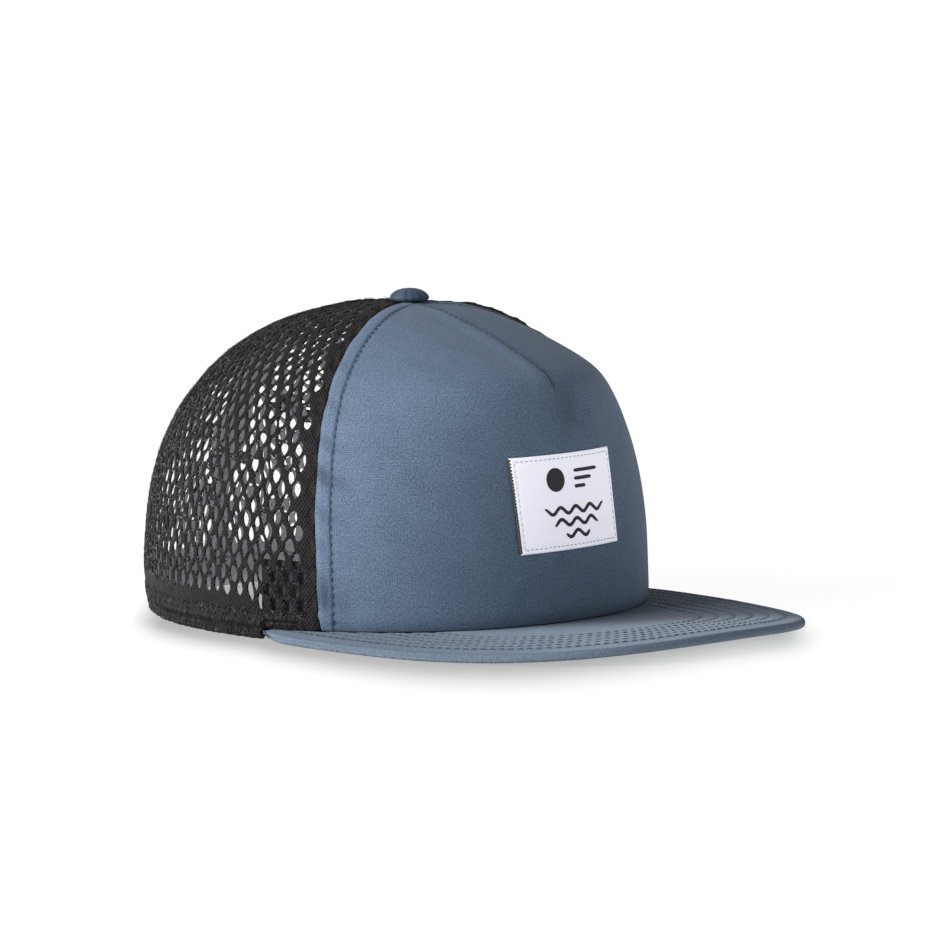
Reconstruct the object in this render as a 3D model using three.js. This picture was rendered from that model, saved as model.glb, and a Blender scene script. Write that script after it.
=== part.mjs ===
// A cap with a smooth cloth front, a net back and a flat brim, in millimetres, +Z up.
// The wearer looks along -Y. The origin is the middle of the base of the whole cap.
// While the pieces are made, the crown's own axis is x = 0, y = 0 and the floor is z = 0.
import * as THREE from "three";

const { clamp, degToRad, lerp, smoothstep } = THREE.MathUtils;

// Crown: lengths of the outer face at the rim, and its height above the brim
const CROWN_HALF_WIDTH = 88;
const CROWN_FRONT_REACH = 86;
const CROWN_BACK_REACH = 110;
const CROWN_HEIGHT = 110;
const FRONT_PLAN_POWER = 2.08;
const BACK_PLAN_POWER = 2.03;

// Cloth: the front is backed with a stiff layer, and the net is thinner
const FRONT_WALL = 2;
const NET_WALL = 1.6;
const CLOTH_GAP = 0.3;

// Seams between the front and the net, as angles from straight ahead
const SEAM_ANGLE_AT_RIM = 63.2;
const SEAM_ANGLE_AT_TOP = 68.4;
const SEAM_STRIP_WIDTH = 5;
const SEAM_STRIP_FADE = 1;
const SEAM_STRIP_LIFT = 0.5;
const GATHER_DEPTH = 0.2;
const GATHER_LENGTH = 13;

// Dart down the middle of the front, and the soft dent past its end
const DART_END_HEIGHT = 88;
const DART_DEPTH = 0.9;
const DART_HALF_WIDTH = 3;
const DART_FOLD_LIFT = 0.4;
const DART_FOLD_END = 9;
const DENT_DEPTH = 1.2;
const DENT_RADIUS = 9;
const DENT_DROP = 9;
const DENT_SIDE = 7;

// Radius from the button by which seams and dart stand out fully
const RELIEF_START_RADIUS = 20;

// Lower edge of the front, which rolls in over the brim
const BASE_ROLL_DEPTH = 0.9;
const BASE_ROLL_HEIGHT = 5;

// Net: staggered rows of gaps, with the strands left between them, and plain cloth beside the seams
const NET_PITCH_AROUND = 17.5;
const NET_PITCH_UP = 15;
const NET_STRAND_AROUND = 8.5;
const NET_STRAND_UP = 2;
const NET_SEAM_MARGIN = 6;
const NET_BACK_MARGIN = 5;
const NET_RIM_MARGIN = 6;
const NET_TOP_MARGIN = 14;
const NET_GAP_SIDES = 8;
const NET_LEAST_SIDE = 1.5;
const NET_WIDEST_STEP = 14;

// Hem round the back of the rim
const HEM_HEIGHT = 9;
const HEM_THICKNESS = 3;
const HEM_PUCKER = 0.5;
const HEM_PUCKER_LENGTH = 14;
const HEM_RISE_ANGLE = 5;

// Brim
const BRIM_THICKNESS = 4;
const BRIM_HALF_WIDTH = 90.8;
const BRIM_SIDE_Y = -39.9;
const BRIM_FRONT_Y = -162.8;
const BRIM_PLAN_POWER_X = 2.4;
const BRIM_PLAN_POWER_Y = 2.3;
const BRIM_ARCH = 5.3;
const BRIM_EDGE_ROUND = 1.3;
const BRIM_TIP_ANGLE = 78;
const BRIM_TIP_WIDTH = 3;

// Sweatband inside the front
const SWEATBAND_THICKNESS = 1.5;
const SWEATBAND_TOP = 28;
const SWEATBAND_BOTTOM = 0.8;
const SWEATBAND_END_ANGLE = 80;

// Button on the top, with the rivet that holds it
const BUTTON_RADIUS = 7.2;
const BUTTON_FOOT_RADIUS = 6.6;
const BUTTON_EDGE_HEIGHT = 0.9;
const BUTTON_DOME_HEIGHT = 3.7;
const BUTTON_DOME_POWER = 0.8;
const BUTTON_HOLE_RADIUS = 4;
const RIVET_RADIUS = 2.4;
const RIVET_HEAD_RADIUS = 6;
const RIVET_HEAD_THICKNESS = 1.2;
const RIVET_HEAD_SLACK = 0.9;

// Label on the front
const LABEL_WIDTH = 48;
const LABEL_HEIGHT = 36.5;
const LABEL_THICKNESS = 1;
const LABEL_CENTRE_HEIGHT = 47.5;

// Profile of each side of the crown, as shares of its height and of its reach at the rim.
// "straight" is the share that stands upright, and the powers bend the rest over to the top.
const PROFILE = {
  side: { straight: 0.116, upPower: 2.56, outPower: 1.98, tuck: 0 },
  back: { straight: 0.116, upPower: 2.2, outPower: 2.58, tuck: 0.031 },
};

// The front leans back as a flat wall, then turns over into a flatter roof at the end of the dart.
const FRONT_PROFILE = {
  wallStart: 0.98,
  wallLean: 0.117,
  roofDrop: 0.256,
  roofCurve: 1.46,
  corner: 14,
};
const FRONT_SPREAD = 2.9;
const BACK_SPREAD = 1.27;

// How finely the surfaces are cut into flat faces
const PATH_STEPS = 160;
const OUTLINE_STEPS = 90;
const TAIL_STEPS = 15;
const FRONT_ROWS = 22;
const FRONT_HALF_COLUMNS = 7;
const HEM_HALF_COLUMNS = 28;
const BRIM_COLUMNS = 44;
const BRIM_ROWS = [0, 0.3, 0.6, 0.85];
const SWEATBAND_COLUMNS = 26;
const LABEL_COLUMNS = 12;
const LABEL_ROWS = 8;
const BUTTON_SIDES = 28;
const BUTTON_DOME_ROWS = 6;

// Where the front's columns stand at a seam strip, as shares of the strip's width
const STRIP_COLUMNS = { top: 0.7, foot: 1.35 };

// The largest shares of a short row that a seam strip and half the dart take up
const STRIP_ROW_SHARE = 0.125;
const DART_ROW_SHARE = 0.1;

// How far a cell's level sides are bowed while it is cut into triangles, so that no three corners line up
const CELL_BOW = 0.2;

// Step in angle and in share for slopes, and halvings when a share is searched
const DIFFERENCE = 1e-3;
const HALVINGS = 30;

const CROWN_TOP = BRIM_THICKNESS + CROWN_HEIGHT;
const BACK_ANGLE = Math.PI;
const TIP_ANGLE = degToRad(BRIM_TIP_ANGLE);
const RISEN_ANGLE = degToRad(BRIM_TIP_ANGLE + HEM_RISE_ANGLE);

// Reach of a side or back profile at a share of the crown's height
function roundReach({ straight, upPower, outPower, tuck }, up) {
  const climb = clamp((up - straight) / (1 - straight), 0, 1);
  const low = clamp((straight - up) / straight, 0, 1);
  return (1 - climb ** upPower) ** (1 / outPower) - tuck * low ** 2;
}

function frontReach(up) {
  const { wallStart, wallLean, roofDrop, roofCurve, corner } = FRONT_PROFILE;
  const wall = wallStart - wallLean * up;
  const roof = ((1 - up) / roofDrop) ** (1 / roofCurve);
  return (wall ** -corner + roof ** -corner) ** (-1 / corner);
}

// A point of the crown's outer face. The angle runs from straight ahead towards +X.
function crownAt(angle, up) {
  const ahead = Math.cos(angle);
  const front = Math.max(ahead, 0) ** FRONT_SPREAD;
  const back = Math.max(-ahead, 0) ** BACK_SPREAD;
  const side = 1 - front - back;
  const out =
    front * frontReach(up) +
    back * roundReach(PROFILE.back, up) +
    side * roundReach(PROFILE.side, up);
  const power = ahead > 0 ? FRONT_PLAN_POWER : BACK_PLAN_POWER;
  const reach = ahead > 0 ? CROWN_FRONT_REACH : CROWN_BACK_REACH;
  const across = Math.sin(angle);
  const square = (Math.abs(across) ** power + Math.abs(ahead) ** power) ** (-1 / power);
  return new THREE.Vector3(
    CROWN_HALF_WIDTH * across * square * out,
    -reach * ahead * square * out,
    BRIM_THICKNESS + up * CROWN_HEIGHT,
  );
}

// Height of the hem's upper edge, which runs down to the brim's top at its two ends
function hemTop(angle) {
  return lerp(BRIM_THICKNESS, HEM_HEIGHT, smoothstep(Math.abs(angle), TIP_ANGLE, RISEN_ANGLE));
}

// Lower edge of the crown's cloth, which stands on the brim and on the hem
function clothBottom(angle) {
  return hemTop(angle) + CLOTH_GAP;
}

// The line over the crown from its lower edge to the button's hole, with the length up to each point
function crownLine(angle) {
  const start = Math.asin((clothBottom(angle) - BRIM_THICKNESS) / CROWN_HEIGHT);
  const points = [];
  for (let i = 0; i <= PATH_STEPS; i += 1) {
    const point = crownAt(angle, Math.sin(lerp(start, Math.PI / 2, i / PATH_STEPS)));
    const radius = Math.hypot(point.x, point.y);
    if (radius <= BUTTON_HOLE_RADIUS) {
      const last = points.at(-1);
      const lastRadius = Math.hypot(last.x, last.y);
      const part = (lastRadius - BUTTON_HOLE_RADIUS) / (lastRadius - radius);
      points.push(last.clone().lerp(point, part));
      break;
    }
    points.push(point);
  }
  const lengths = [0];
  for (let i = 1; i < points.length; i += 1) {
    lengths.push(lengths[i - 1] + points[i].distanceTo(points[i - 1]));
  }
  return { points, lengths };
}

function alongLine({ points, lengths }, share) {
  const wanted = share * lengths.at(-1);
  const found = lengths.findIndex((length, i) => i > 0 && length >= wanted);
  const next = found < 0 ? lengths.length - 1 : found;
  const part = (wanted - lengths[next - 1]) / (lengths[next] - lengths[next - 1]);
  return points[next - 1].clone().lerp(points[next], part);
}

const lines = new Map();
function lineAt(angle) {
  if (!lines.has(angle)) lines.set(angle, crownLine(angle));
  return lines.get(angle);
}

function crownPoint(angle, share) {
  return alongLine(lineAt(angle), share);
}

// Outward direction of the crown's face
function crownNormal(angle, share) {
  const around = crownPoint(angle + DIFFERENCE, share).sub(crownPoint(angle - DIFFERENCE, share));
  const low = clamp(share - DIFFERENCE, 0, 1);
  const high = clamp(share + DIFFERENCE, 0, 1);
  const upward = crownPoint(angle, high).sub(crownPoint(angle, low));
  return around.cross(upward).normalize();
}

function crownOffset(angle, share, out) {
  return crownPoint(angle, share).addScaledVector(crownNormal(angle, share), out);
}

function crownLength(angle) {
  return lineAt(angle).lengths.at(-1);
}

function seamAngle(share) {
  return degToRad(lerp(SEAM_ANGLE_AT_RIM, SEAM_ANGLE_AT_TOP, smoothstep(share, 0, 1)));
}

// Angle that takes up a length across the crown at this place
function angleOf(length, angle, share) {
  const before = crownPoint(angle - DIFFERENCE, share);
  const after = crownPoint(angle + DIFFERENCE, share);
  return (length * 2 * DIFFERENCE) / before.distanceTo(after);
}

// A closed solid between two faces that share one triangulation. Every open edge gets a wall.
function thicken(outer, inner, faces) {
  const count = outer.length;
  const vertices = [...outer, ...inner];
  const edges = new Set(faces.flatMap(([a, b, c]) => [`${a},${b}`, `${b},${c}`, `${c},${a}`]));
  const index = [];
  for (const [a, b, c] of faces) {
    index.push(a, b, c, count + a, count + c, count + b);
    for (const [from, to] of [[a, b], [b, c], [c, a]]) {
      if (edges.has(`${to},${from}`)) continue;
      index.push(to, from, count + from, to, count + from, count + to);
    }
  }
  let volume = 0;
  for (let i = 0; i < index.length; i += 3) {
    const [a, b, c] = index.slice(i, i + 3).map((corner) => vertices[corner]);
    volume += a.dot(b.clone().cross(c));
  }
  if (volume < 0) index.reverse();
  const geometry = new THREE.BufferGeometry();
  geometry.setFromPoints(vertices);
  geometry.setIndex(index);
  return geometry;
}

// A closed solid between two grids of points, each a list of rows of equal length
function slab(outer, inner) {
  const columns = outer[0].length;
  const faces = [];
  for (let row = 0; row < outer.length - 1; row += 1) {
    for (let column = 0; column < columns - 1; column += 1) {
      const corner = row * columns + column;
      faces.push([corner, corner + 1, corner + columns + 1]);
      faces.push([corner, corner + columns + 1, corner + columns]);
    }
  }
  return thicken(outer.flat(), inner.flat(), faces);
}

function piece(name, geometry, { color, roughness }) {
  geometry.computeVertexNormals();
  const material = new THREE.MeshStandardMaterial({ color, roughness, metalness: 0, flatShading: true });
  const mesh = new THREE.Mesh(geometry, material);
  mesh.name = name;
  return mesh;
}

function shares(count) {
  return Array.from({ length: count + 1 }, (_, i) => i / count);
}

// Front panel

// How far the front's outer face stands off the plain crown
function frontRelief(point, fromSeam, height) {
  const clear = smoothstep(Math.hypot(point.x, point.y), BUTTON_RADIUS, RELIEF_START_RADIUS);
  const inside = SEAM_STRIP_WIDTH - SEAM_STRIP_FADE;
  const strip = 1 - smoothstep(fromSeam, inside, inside + 2 * SEAM_STRIP_FADE);
  const gather = GATHER_DEPTH * Math.sin((2 * Math.PI * height) / GATHER_LENGTH);
  const gathered = 1 - smoothstep(fromSeam, 0, 2 * SEAM_STRIP_WIDTH);
  const seam = strip * SEAM_STRIP_LIFT + gathered * gather;
  const dentAway = Math.hypot(point.x - DENT_SIDE, point.z - DART_END_HEIGHT + DENT_DROP) / DENT_RADIUS;
  const dent = DENT_DEPTH * Math.exp(-(dentAway ** 2));
  return clear * (seam + dartRelief(point)) - dent;
}

// The dart's groove, and the fold of cloth that lies beside it towards the wearer's right
function dartRelief({ x, z }) {
  const above = smoothstep(z, DART_END_HEIGHT - DART_HALF_WIDTH, DART_END_HEIGHT + DART_HALF_WIDTH);
  const groove = DART_DEPTH * Math.max(0, 1 - Math.abs(x) / DART_HALF_WIDTH);
  const fold = smoothstep(-x, 0, DART_HALF_WIDTH) - smoothstep(-x, DART_HALF_WIDTH, DART_FOLD_END);
  return above * (DART_FOLD_LIFT * fold - groove);
}

function baseRoll(height) {
  return BASE_ROLL_DEPTH * (1 - clamp(height / BASE_ROLL_HEIGHT, 0, 1)) ** 2;
}

// Angles across one row of the front: the seam strips, the dart and even steps between them
function frontAngles(share) {
  const edge = seamAngle(share);
  const radius = 1 / angleOf(1, edge, share);
  const span = 2 * edge * radius;
  const strip = Math.min(SEAM_STRIP_WIDTH, span * STRIP_ROW_SHARE) / radius;
  const dart = Math.min(DART_HALF_WIDTH, span * DART_ROW_SHARE) / radius;
  const start = -edge + angleOf(CLOTH_GAP / 2, edge, share);
  const foot = start + STRIP_COLUMNS.foot * strip;
  const plain = shares(FRONT_HALF_COLUMNS).map((part) => lerp(foot, -2 * dart, part));
  const half = [start, start + STRIP_COLUMNS.top * strip, ...plain, -dart];
  return [...half, 0, ...half.map((angle) => -angle).reverse()];
}

function frontPanel() {
  const outer = [];
  const inner = [];
  for (const share of shares(FRONT_ROWS)) {
    const angles = frontAngles(share);
    const edge = angles.at(-1);
    const places = angles.map((angle) => {
      const point = crownPoint(angle, share);
      const fromSeam = (edge - Math.abs(angle)) / angleOf(1, angle, share);
      const relief = frontRelief(point, fromSeam, share * crownLength(angle));
      const roll = baseRoll(point.z - clothBottom(angle));
      return { angle, relief, roll };
    });
    const face = (out) => places.map((place) => crownOffset(place.angle, share, out(place)));
    outer.push(face(({ relief, roll }) => relief - roll));
    inner.push(face(({ relief }) => Math.min(relief, 0) - FRONT_WALL));
  }
  return slab(outer, flatEnd(inner, outer));
}

// The lowest row of an inner face at the height of the outer one, so that the edge is level
function flatEnd(inner, outer) {
  inner[0].forEach((point, i) => point.setZ(outer[0][i].z));
  return inner;
}

// Net panels

// Angles of the cells' edges in one row of gaps, a pitch apart along the cloth
function cellEdges(share, shift) {
  const edges = [];
  let angle = seamAngle(share);
  angle += angleOf(NET_SEAM_MARGIN + shift * NET_PITCH_AROUND, angle, share);
  while (angle + angleOf(NET_BACK_MARGIN, angle, share) < BACK_ANGLE) {
    edges.push(angle);
    angle += angleOf(NET_PITCH_AROUND, angle, share);
  }
  return edges;
}

// Corners along a level line: its two ends, the edges of the cells below and above it, and points between
function cornersOn(share, edges) {
  const seam = seamAngle(share);
  const start = seam + angleOf(CLOTH_GAP / 2, seam, share);
  const end = BACK_ANGLE - angleOf(CLOTH_GAP / 2, BACK_ANGLE, share);
  const corners = [start];
  for (const angle of [...edges.sort((a, b) => a - b), end]) {
    const last = corners.at(-1);
    const least = angleOf(NET_LEAST_SIDE, last, share);
    if (angle !== end && Math.min(angle - last, end - angle) < least) continue;
    const steps = Math.ceil((angle - last) / degToRad(NET_WIDEST_STEP));
    for (let i = 1; i <= steps; i += 1) corners.push(lerp(last, angle, i / steps));
  }
  return corners;
}

function nearest(corners, angle) {
  const away = corners.map((corner) => Math.abs(corner - angle));
  return away.indexOf(Math.min(...away));
}

// Rows of the net: margins at the rim and at the top, and rows of cells with a gap each between them
function netRows() {
  const height = crownLength(BACK_ANGLE / 2);
  const count = Math.floor((height - NET_RIM_MARGIN - NET_TOP_MARGIN) / NET_PITCH_UP);
  const rows = Array.from({ length: count }, (_, row) => {
    const low = (NET_RIM_MARGIN + row * NET_PITCH_UP) / height;
    const high = low + NET_PITCH_UP / height;
    return { low, high, gaps: true, edges: cellEdges((low + high) / 2, (row % 2) / 2) };
  });
  const [first, last] = [rows[0], rows.at(-1)];
  const clearOfRise = RISEN_ANGLE + degToRad(NET_WIDEST_STEP / 2);
  const beyond = first.edges.filter((angle) => angle > clearOfRise);
  const between = (last.high + 1) / 2;
  return [
    { low: 0, high: first.low, gaps: false, edges: [TIP_ANGLE, RISEN_ANGLE, ...beyond] },
    ...rows,
    { low: last.high, high: between, gaps: false, edges: last.edges },
    { low: between, high: 1, gaps: false, edges: [] },
  ];
}

// The outline of one gap about the middle of its cell
function gapOutline(low, high, left, right) {
  const share = (low + high) / 2;
  const angle = (left + right) / 2;
  const halfWidth = angleOf((NET_PITCH_AROUND - NET_STRAND_AROUND) / 2, angle, share);
  const halfHeight = ((high - low) / 2) * (1 - NET_STRAND_UP / NET_PITCH_UP);
  return Array.from({ length: NET_GAP_SIDES }, (_, i) => {
    const turn = (2 * Math.PI * i) / NET_GAP_SIDES;
    return { angle: angle + halfWidth * Math.sin(turn), share: share + halfHeight * Math.cos(turn) };
  });
}

// Corners of a cell's level side in a unit square, bowed outwards
function cellSide(corners, level, towards) {
  return corners.map((_, i) => {
    const part = corners.length > 1 ? i / (corners.length - 1) : 0.5;
    const bow = towards * CELL_BOW * part * (1 - part);
    return new THREE.Vector2(towards < 0 ? part : 1 - part, level + bow);
  });
}

// side is +1 for the wearer's left and -1 for the wearer's right
function netPanel(side) {
  const rows = netRows();
  const places = [];
  const faces = [];
  const add = (place) => places.push(place) - 1;
  const levels = [...rows.map((row) => row.low), 1].map((share, level) => {
    const corners = cornersOn(share, [rows[level - 1], rows[level]].flatMap((row) => row?.edges ?? []));
    return { corners, ids: corners.map((angle) => add({ angle, share })) };
  });
  rows.forEach((row, i) => {
    const cut = ({ corners, ids }) => {
      const stops = [0, ...row.edges.map((angle) => nearest(corners, angle)), corners.length - 1];
      return stops.slice(1).map((stop, cell) => ids.slice(stops[cell], stop + 1));
    };
    const below = cut(levels[i]);
    const above = cut(levels[i + 1]);
    below.forEach((under, cell) => {
      const over = above[cell].reverse();
      const ids = [...under, ...over];
      const holes = [];
      if (row.gaps && cell > 0 && cell < row.edges.length) {
        const [left, right] = row.edges.slice(cell - 1, cell + 1);
        const gap = gapOutline(row.low, row.high, left, right);
        const across = (angle) => (angle - left) / (right - left);
        const upward = (share) => (share - row.low) / (row.high - row.low);
        holes.push(gap.map(({ angle, share }) => new THREE.Vector2(across(angle), upward(share))));
        ids.push(...gap.map(add));
      }
      const contour = [...cellSide(under, 0, -1), ...cellSide(over, 1, 1)];
      const triangles = THREE.ShapeUtils.triangulateShape(contour, holes);
      faces.push(...triangles.map((corners) => corners.map((corner) => ids[corner])));
    });
  });
  const face = (inset) => places.map(({ angle, share }) => crownOffset(side * angle, share, -inset));
  const outer = face(0);
  const inner = face(NET_WALL);
  places.forEach(({ share }, i) => share === 0 && inner[i].setZ(outer[i].z));
  return thicken(outer, inner, faces);
}

// Rim pieces, which follow the crown's outline in plan

function rimPoint(angle, out, height) {
  const point = crownAt(angle, 0);
  const around = crownAt(angle + DIFFERENCE, 0).sub(crownAt(angle - DIFFERENCE, 0));
  const away = new THREE.Vector3(around.y, -around.x, 0).normalize();
  return point.addScaledVector(away, out).setZ(height);
}

// A hem's section, as shares of its height and of its bulge beyond the crown's face
const HEM_SECTION = [
  { up: 0, bulge: 0.35 },
  { up: 0.3, bulge: 1 },
  { up: 0.7, bulge: 1 },
  { up: 1, bulge: 0.35 },
];

function hem() {
  const start = TIP_ANGLE + angleOf(CLOTH_GAP, TIP_ANGLE, 0);
  const half = [start, ...shares(HEM_HALF_COLUMNS).map((part) => lerp(RISEN_ANGLE, BACK_ANGLE, part))];
  const other = half.slice(0, -1).map((angle) => 2 * Math.PI - angle);
  const angles = [...half, ...other.reverse()];
  const wavesPerTurn = (2 * Math.PI * CROWN_BACK_REACH) / HEM_PUCKER_LENGTH;
  const bulge = (angle) => HEM_THICKNESS - FRONT_WALL + HEM_PUCKER * Math.sin(angle * wavesPerTurn);
  const face = (out) =>
    HEM_SECTION.map((row) =>
      angles.map((angle) => {
        const height = hemTop(angle > Math.PI ? angle - 2 * Math.PI : angle);
        return rimPoint(angle, out(row, angle), row.up * height);
      }),
    );
  return slab(face((row, angle) => row.bulge * bulge(angle)), face(() => -FRONT_WALL));
}

function sweatband() {
  const end = degToRad(SWEATBAND_END_ANGLE);
  const angles = shares(SWEATBAND_COLUMNS).map((part) => lerp(-end, end, part));
  const middle = (BRIM_THICKNESS + SWEATBAND_TOP) / 2;
  const heights = [SWEATBAND_BOTTOM, BRIM_THICKNESS, middle, SWEATBAND_TOP];
  const face = (inset) =>
    heights.map((height) =>
      angles.map((angle) => {
        const up = Math.max(height - BRIM_THICKNESS, 0) / CROWN_HEIGHT;
        const lean = crownAt(angle, up).sub(crownAt(angle, 0)).setZ(0);
        return rimPoint(angle, -inset, height).add(lean);
      }),
    );
  return slab(face(FRONT_WALL + CLOTH_GAP), face(FRONT_WALL + CLOTH_GAP + SWEATBAND_THICKNESS));
}

// Brim

// Evenly spaced points along a list of points
function evenly(points, count) {
  const curve = new THREE.CurvePath();
  points.slice(1).forEach((point, i) => curve.add(new THREE.LineCurve3(points[i], point)));
  return shares(count).map((share) => curve.getPointAt(share));
}

// Outer outline in plan: the front as a squared ellipse, and a short tail back to the crown on each side
function brimOutline() {
  const tip = rimPoint(TIP_ANGLE, BRIM_TIP_WIDTH - FRONT_WALL, 0);
  const front = shares(OUTLINE_STEPS).map((part) => {
    const turn = (part * Math.PI) / 2;
    const x = BRIM_HALF_WIDTH * Math.sin(turn) ** (2 / BRIM_PLAN_POWER_X);
    const ahead = (BRIM_SIDE_Y - BRIM_FRONT_Y) * Math.cos(turn) ** (2 / BRIM_PLAN_POWER_Y);
    return new THREE.Vector3(x, BRIM_SIDE_Y - ahead, 0);
  });
  const tail = shares(TAIL_STEPS).map((part) => {
    return new THREE.Vector3(lerp(BRIM_HALF_WIDTH, tip.x, part ** 2), lerp(BRIM_SIDE_Y, tip.y, part), 0);
  });
  const half = [...front, ...tail.slice(1)];
  const other = half.slice(1).map((point) => new THREE.Vector3(-point.x, point.y, 0));
  return [...other.reverse(), ...half];
}

// Height of the brim's underside: level beside the crown, arched at the front
function brimRise(point) {
  const forward = clamp((-CROWN_FRONT_REACH - point.y) / (-CROWN_FRONT_REACH - BRIM_FRONT_Y), 0, 1);
  return BRIM_ARCH * (1 - (point.x / BRIM_HALF_WIDTH) ** 2) * forward;
}

function brim() {
  const outline = evenly(brimOutline(), BRIM_COLUMNS);
  const turns = shares(OUTLINE_STEPS).map((part) => lerp(-TIP_ANGLE, TIP_ANGLE, part));
  const inside = evenly(turns.map((angle) => rimPoint(angle, -FRONT_WALL, 0)), BRIM_COLUMNS);
  const row = (share, inset, height) =>
    outline.map((edge, i) => {
      const width = edge.distanceTo(inside[i]);
      const part = Math.min(share, 1 - inset / width);
      const point = inside[i].clone().lerp(edge, Math.max(part, 0));
      return point.setZ(brimRise(point) + height);
    });
  const round = BRIM_EDGE_ROUND;
  const eased = (1 - Math.SQRT1_2) * round;
  const face = (level, towards) => [
    ...BRIM_ROWS.map((share) => row(share, 2 * round, level)),
    row(1, round, level),
    row(1, eased, level + towards * eased),
    row(1, 0, level + towards * round),
  ];
  return slab(face(BRIM_THICKNESS, -1), face(0, 1));
}

// Button with its rivet, turned about the crown's axis
function button() {
  const seat = CROWN_TOP + CLOTH_GAP;
  const head = CROWN_TOP - FRONT_WALL - RIVET_HEAD_SLACK;
  const dome = shares(BUTTON_DOME_ROWS).map((part) => {
    const turn = (part * Math.PI) / 2;
    const radius = BUTTON_RADIUS * Math.cos(turn) ** BUTTON_DOME_POWER;
    return new THREE.Vector2(radius, seat + BUTTON_EDGE_HEIGHT + BUTTON_DOME_HEIGHT * Math.sin(turn));
  });
  dome.at(-1).setX(0);
  const profile = [
    new THREE.Vector2(0, head - RIVET_HEAD_THICKNESS),
    new THREE.Vector2(RIVET_HEAD_RADIUS, head - RIVET_HEAD_THICKNESS),
    new THREE.Vector2(RIVET_HEAD_RADIUS, head),
    new THREE.Vector2(RIVET_RADIUS, head),
    new THREE.Vector2(RIVET_RADIUS, seat),
    new THREE.Vector2(BUTTON_FOOT_RADIUS, seat),
    ...dome,
  ];
  const geometry = new THREE.LatheGeometry(profile, BUTTON_SIDES);
  return geometry.rotateX(Math.PI / 2);
}

// Share of the way up the crown at which it has this height
function shareAt(angle, height) {
  let [low, high] = [0, 1];
  for (let i = 0; i < HALVINGS; i += 1) {
    const middle = (low + high) / 2;
    if (crownPoint(angle, middle).z < height) low = middle;
    else high = middle;
  }
  return low;
}

// Label, a small flat cloth that follows the front panel
function label() {
  const face = (out) =>
    shares(LABEL_ROWS).map((part) => {
      const height = LABEL_CENTRE_HEIGHT + (part - 0.5) * LABEL_HEIGHT;
      const half = angleOf(LABEL_WIDTH / 2, 0, shareAt(0, height));
      return shares(LABEL_COLUMNS).map((across) => {
        const angle = lerp(-half, half, across);
        return crownOffset(angle, shareAt(angle, height), out);
      });
    });
  return slab(face(CLOTH_GAP + LABEL_THICKNESS), face(CLOTH_GAP));
}

const BLUE_CLOTH = { color: 0x4f6175, roughness: 0.8 };
const BLACK_NET = { color: 0x1c1c1d, roughness: 0.9 };
const DARK_CLOTH = { color: 0x26282b, roughness: 0.85 };
const WHITE_CLOTH = { color: 0xe8e8ec, roughness: 0.7 };

const crown = new THREE.Group();
crown.add(
  piece("front_panel", frontPanel(), BLUE_CLOTH),
  piece("mesh_right", netPanel(-1), BLACK_NET),
  piece("mesh_left", netPanel(1), BLACK_NET),
  piece("button", button(), BLUE_CLOTH),
  piece("label", label(), WHITE_CLOTH),
);

const rim = new THREE.Group();
rim.add(
  piece("brim", brim(), BLUE_CLOTH),
  piece("hem", hem(), BLACK_NET),
  piece("sweatband", sweatband(), DARK_CLOTH),
);

const cap = new THREE.Group();
cap.add(crown, rim);
const box = new THREE.Box3().setFromObject(cap);
cap.position.y = -(box.min.y + box.max.y) / 2;

export default cap;
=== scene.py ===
import math

import bpy
import numpy as np
from mathutils import Matrix, Vector
from mathutils.geometry import delaunay_2d_cdt


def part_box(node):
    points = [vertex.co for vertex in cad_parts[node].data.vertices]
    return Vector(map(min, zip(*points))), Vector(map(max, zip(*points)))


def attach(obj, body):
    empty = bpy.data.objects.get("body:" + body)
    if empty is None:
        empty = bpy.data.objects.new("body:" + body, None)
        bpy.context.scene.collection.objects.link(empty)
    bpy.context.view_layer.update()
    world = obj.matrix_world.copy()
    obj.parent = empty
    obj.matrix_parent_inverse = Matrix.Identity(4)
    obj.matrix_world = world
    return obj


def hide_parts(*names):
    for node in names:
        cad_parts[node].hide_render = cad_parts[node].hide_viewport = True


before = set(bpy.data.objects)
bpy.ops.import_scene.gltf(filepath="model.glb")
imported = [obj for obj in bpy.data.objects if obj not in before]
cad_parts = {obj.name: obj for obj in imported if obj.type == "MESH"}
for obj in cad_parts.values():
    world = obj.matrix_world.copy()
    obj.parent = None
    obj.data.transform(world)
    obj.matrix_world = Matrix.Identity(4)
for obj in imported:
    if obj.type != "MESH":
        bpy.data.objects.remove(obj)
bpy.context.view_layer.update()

# Lengths are in millimetres until a mesh is made. The wearer looks along -Y.
MM = 0.001
TURN = 2 * math.pi


# Places from the frame
def middle_of(node):
    low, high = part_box(node)
    return (low + high) / (2 * MM)


AXIS_Y = middle_of("button").y

# Camera: the photograph's angle to the cap, and the framing of its image
CAMERA_AZIMUTH = math.radians(-43.24)
CAMERA_ELEVATION = math.radians(5.99)
CAMERA_ROLL = math.radians(0.342)
CAMERA_DISTANCE = 1593
CAMERA_LENS = 164.84
TARGET_HEIGHT = 63.72
TARGET_RIGHT = 23.54
TARGET_UP = -13.63

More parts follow.
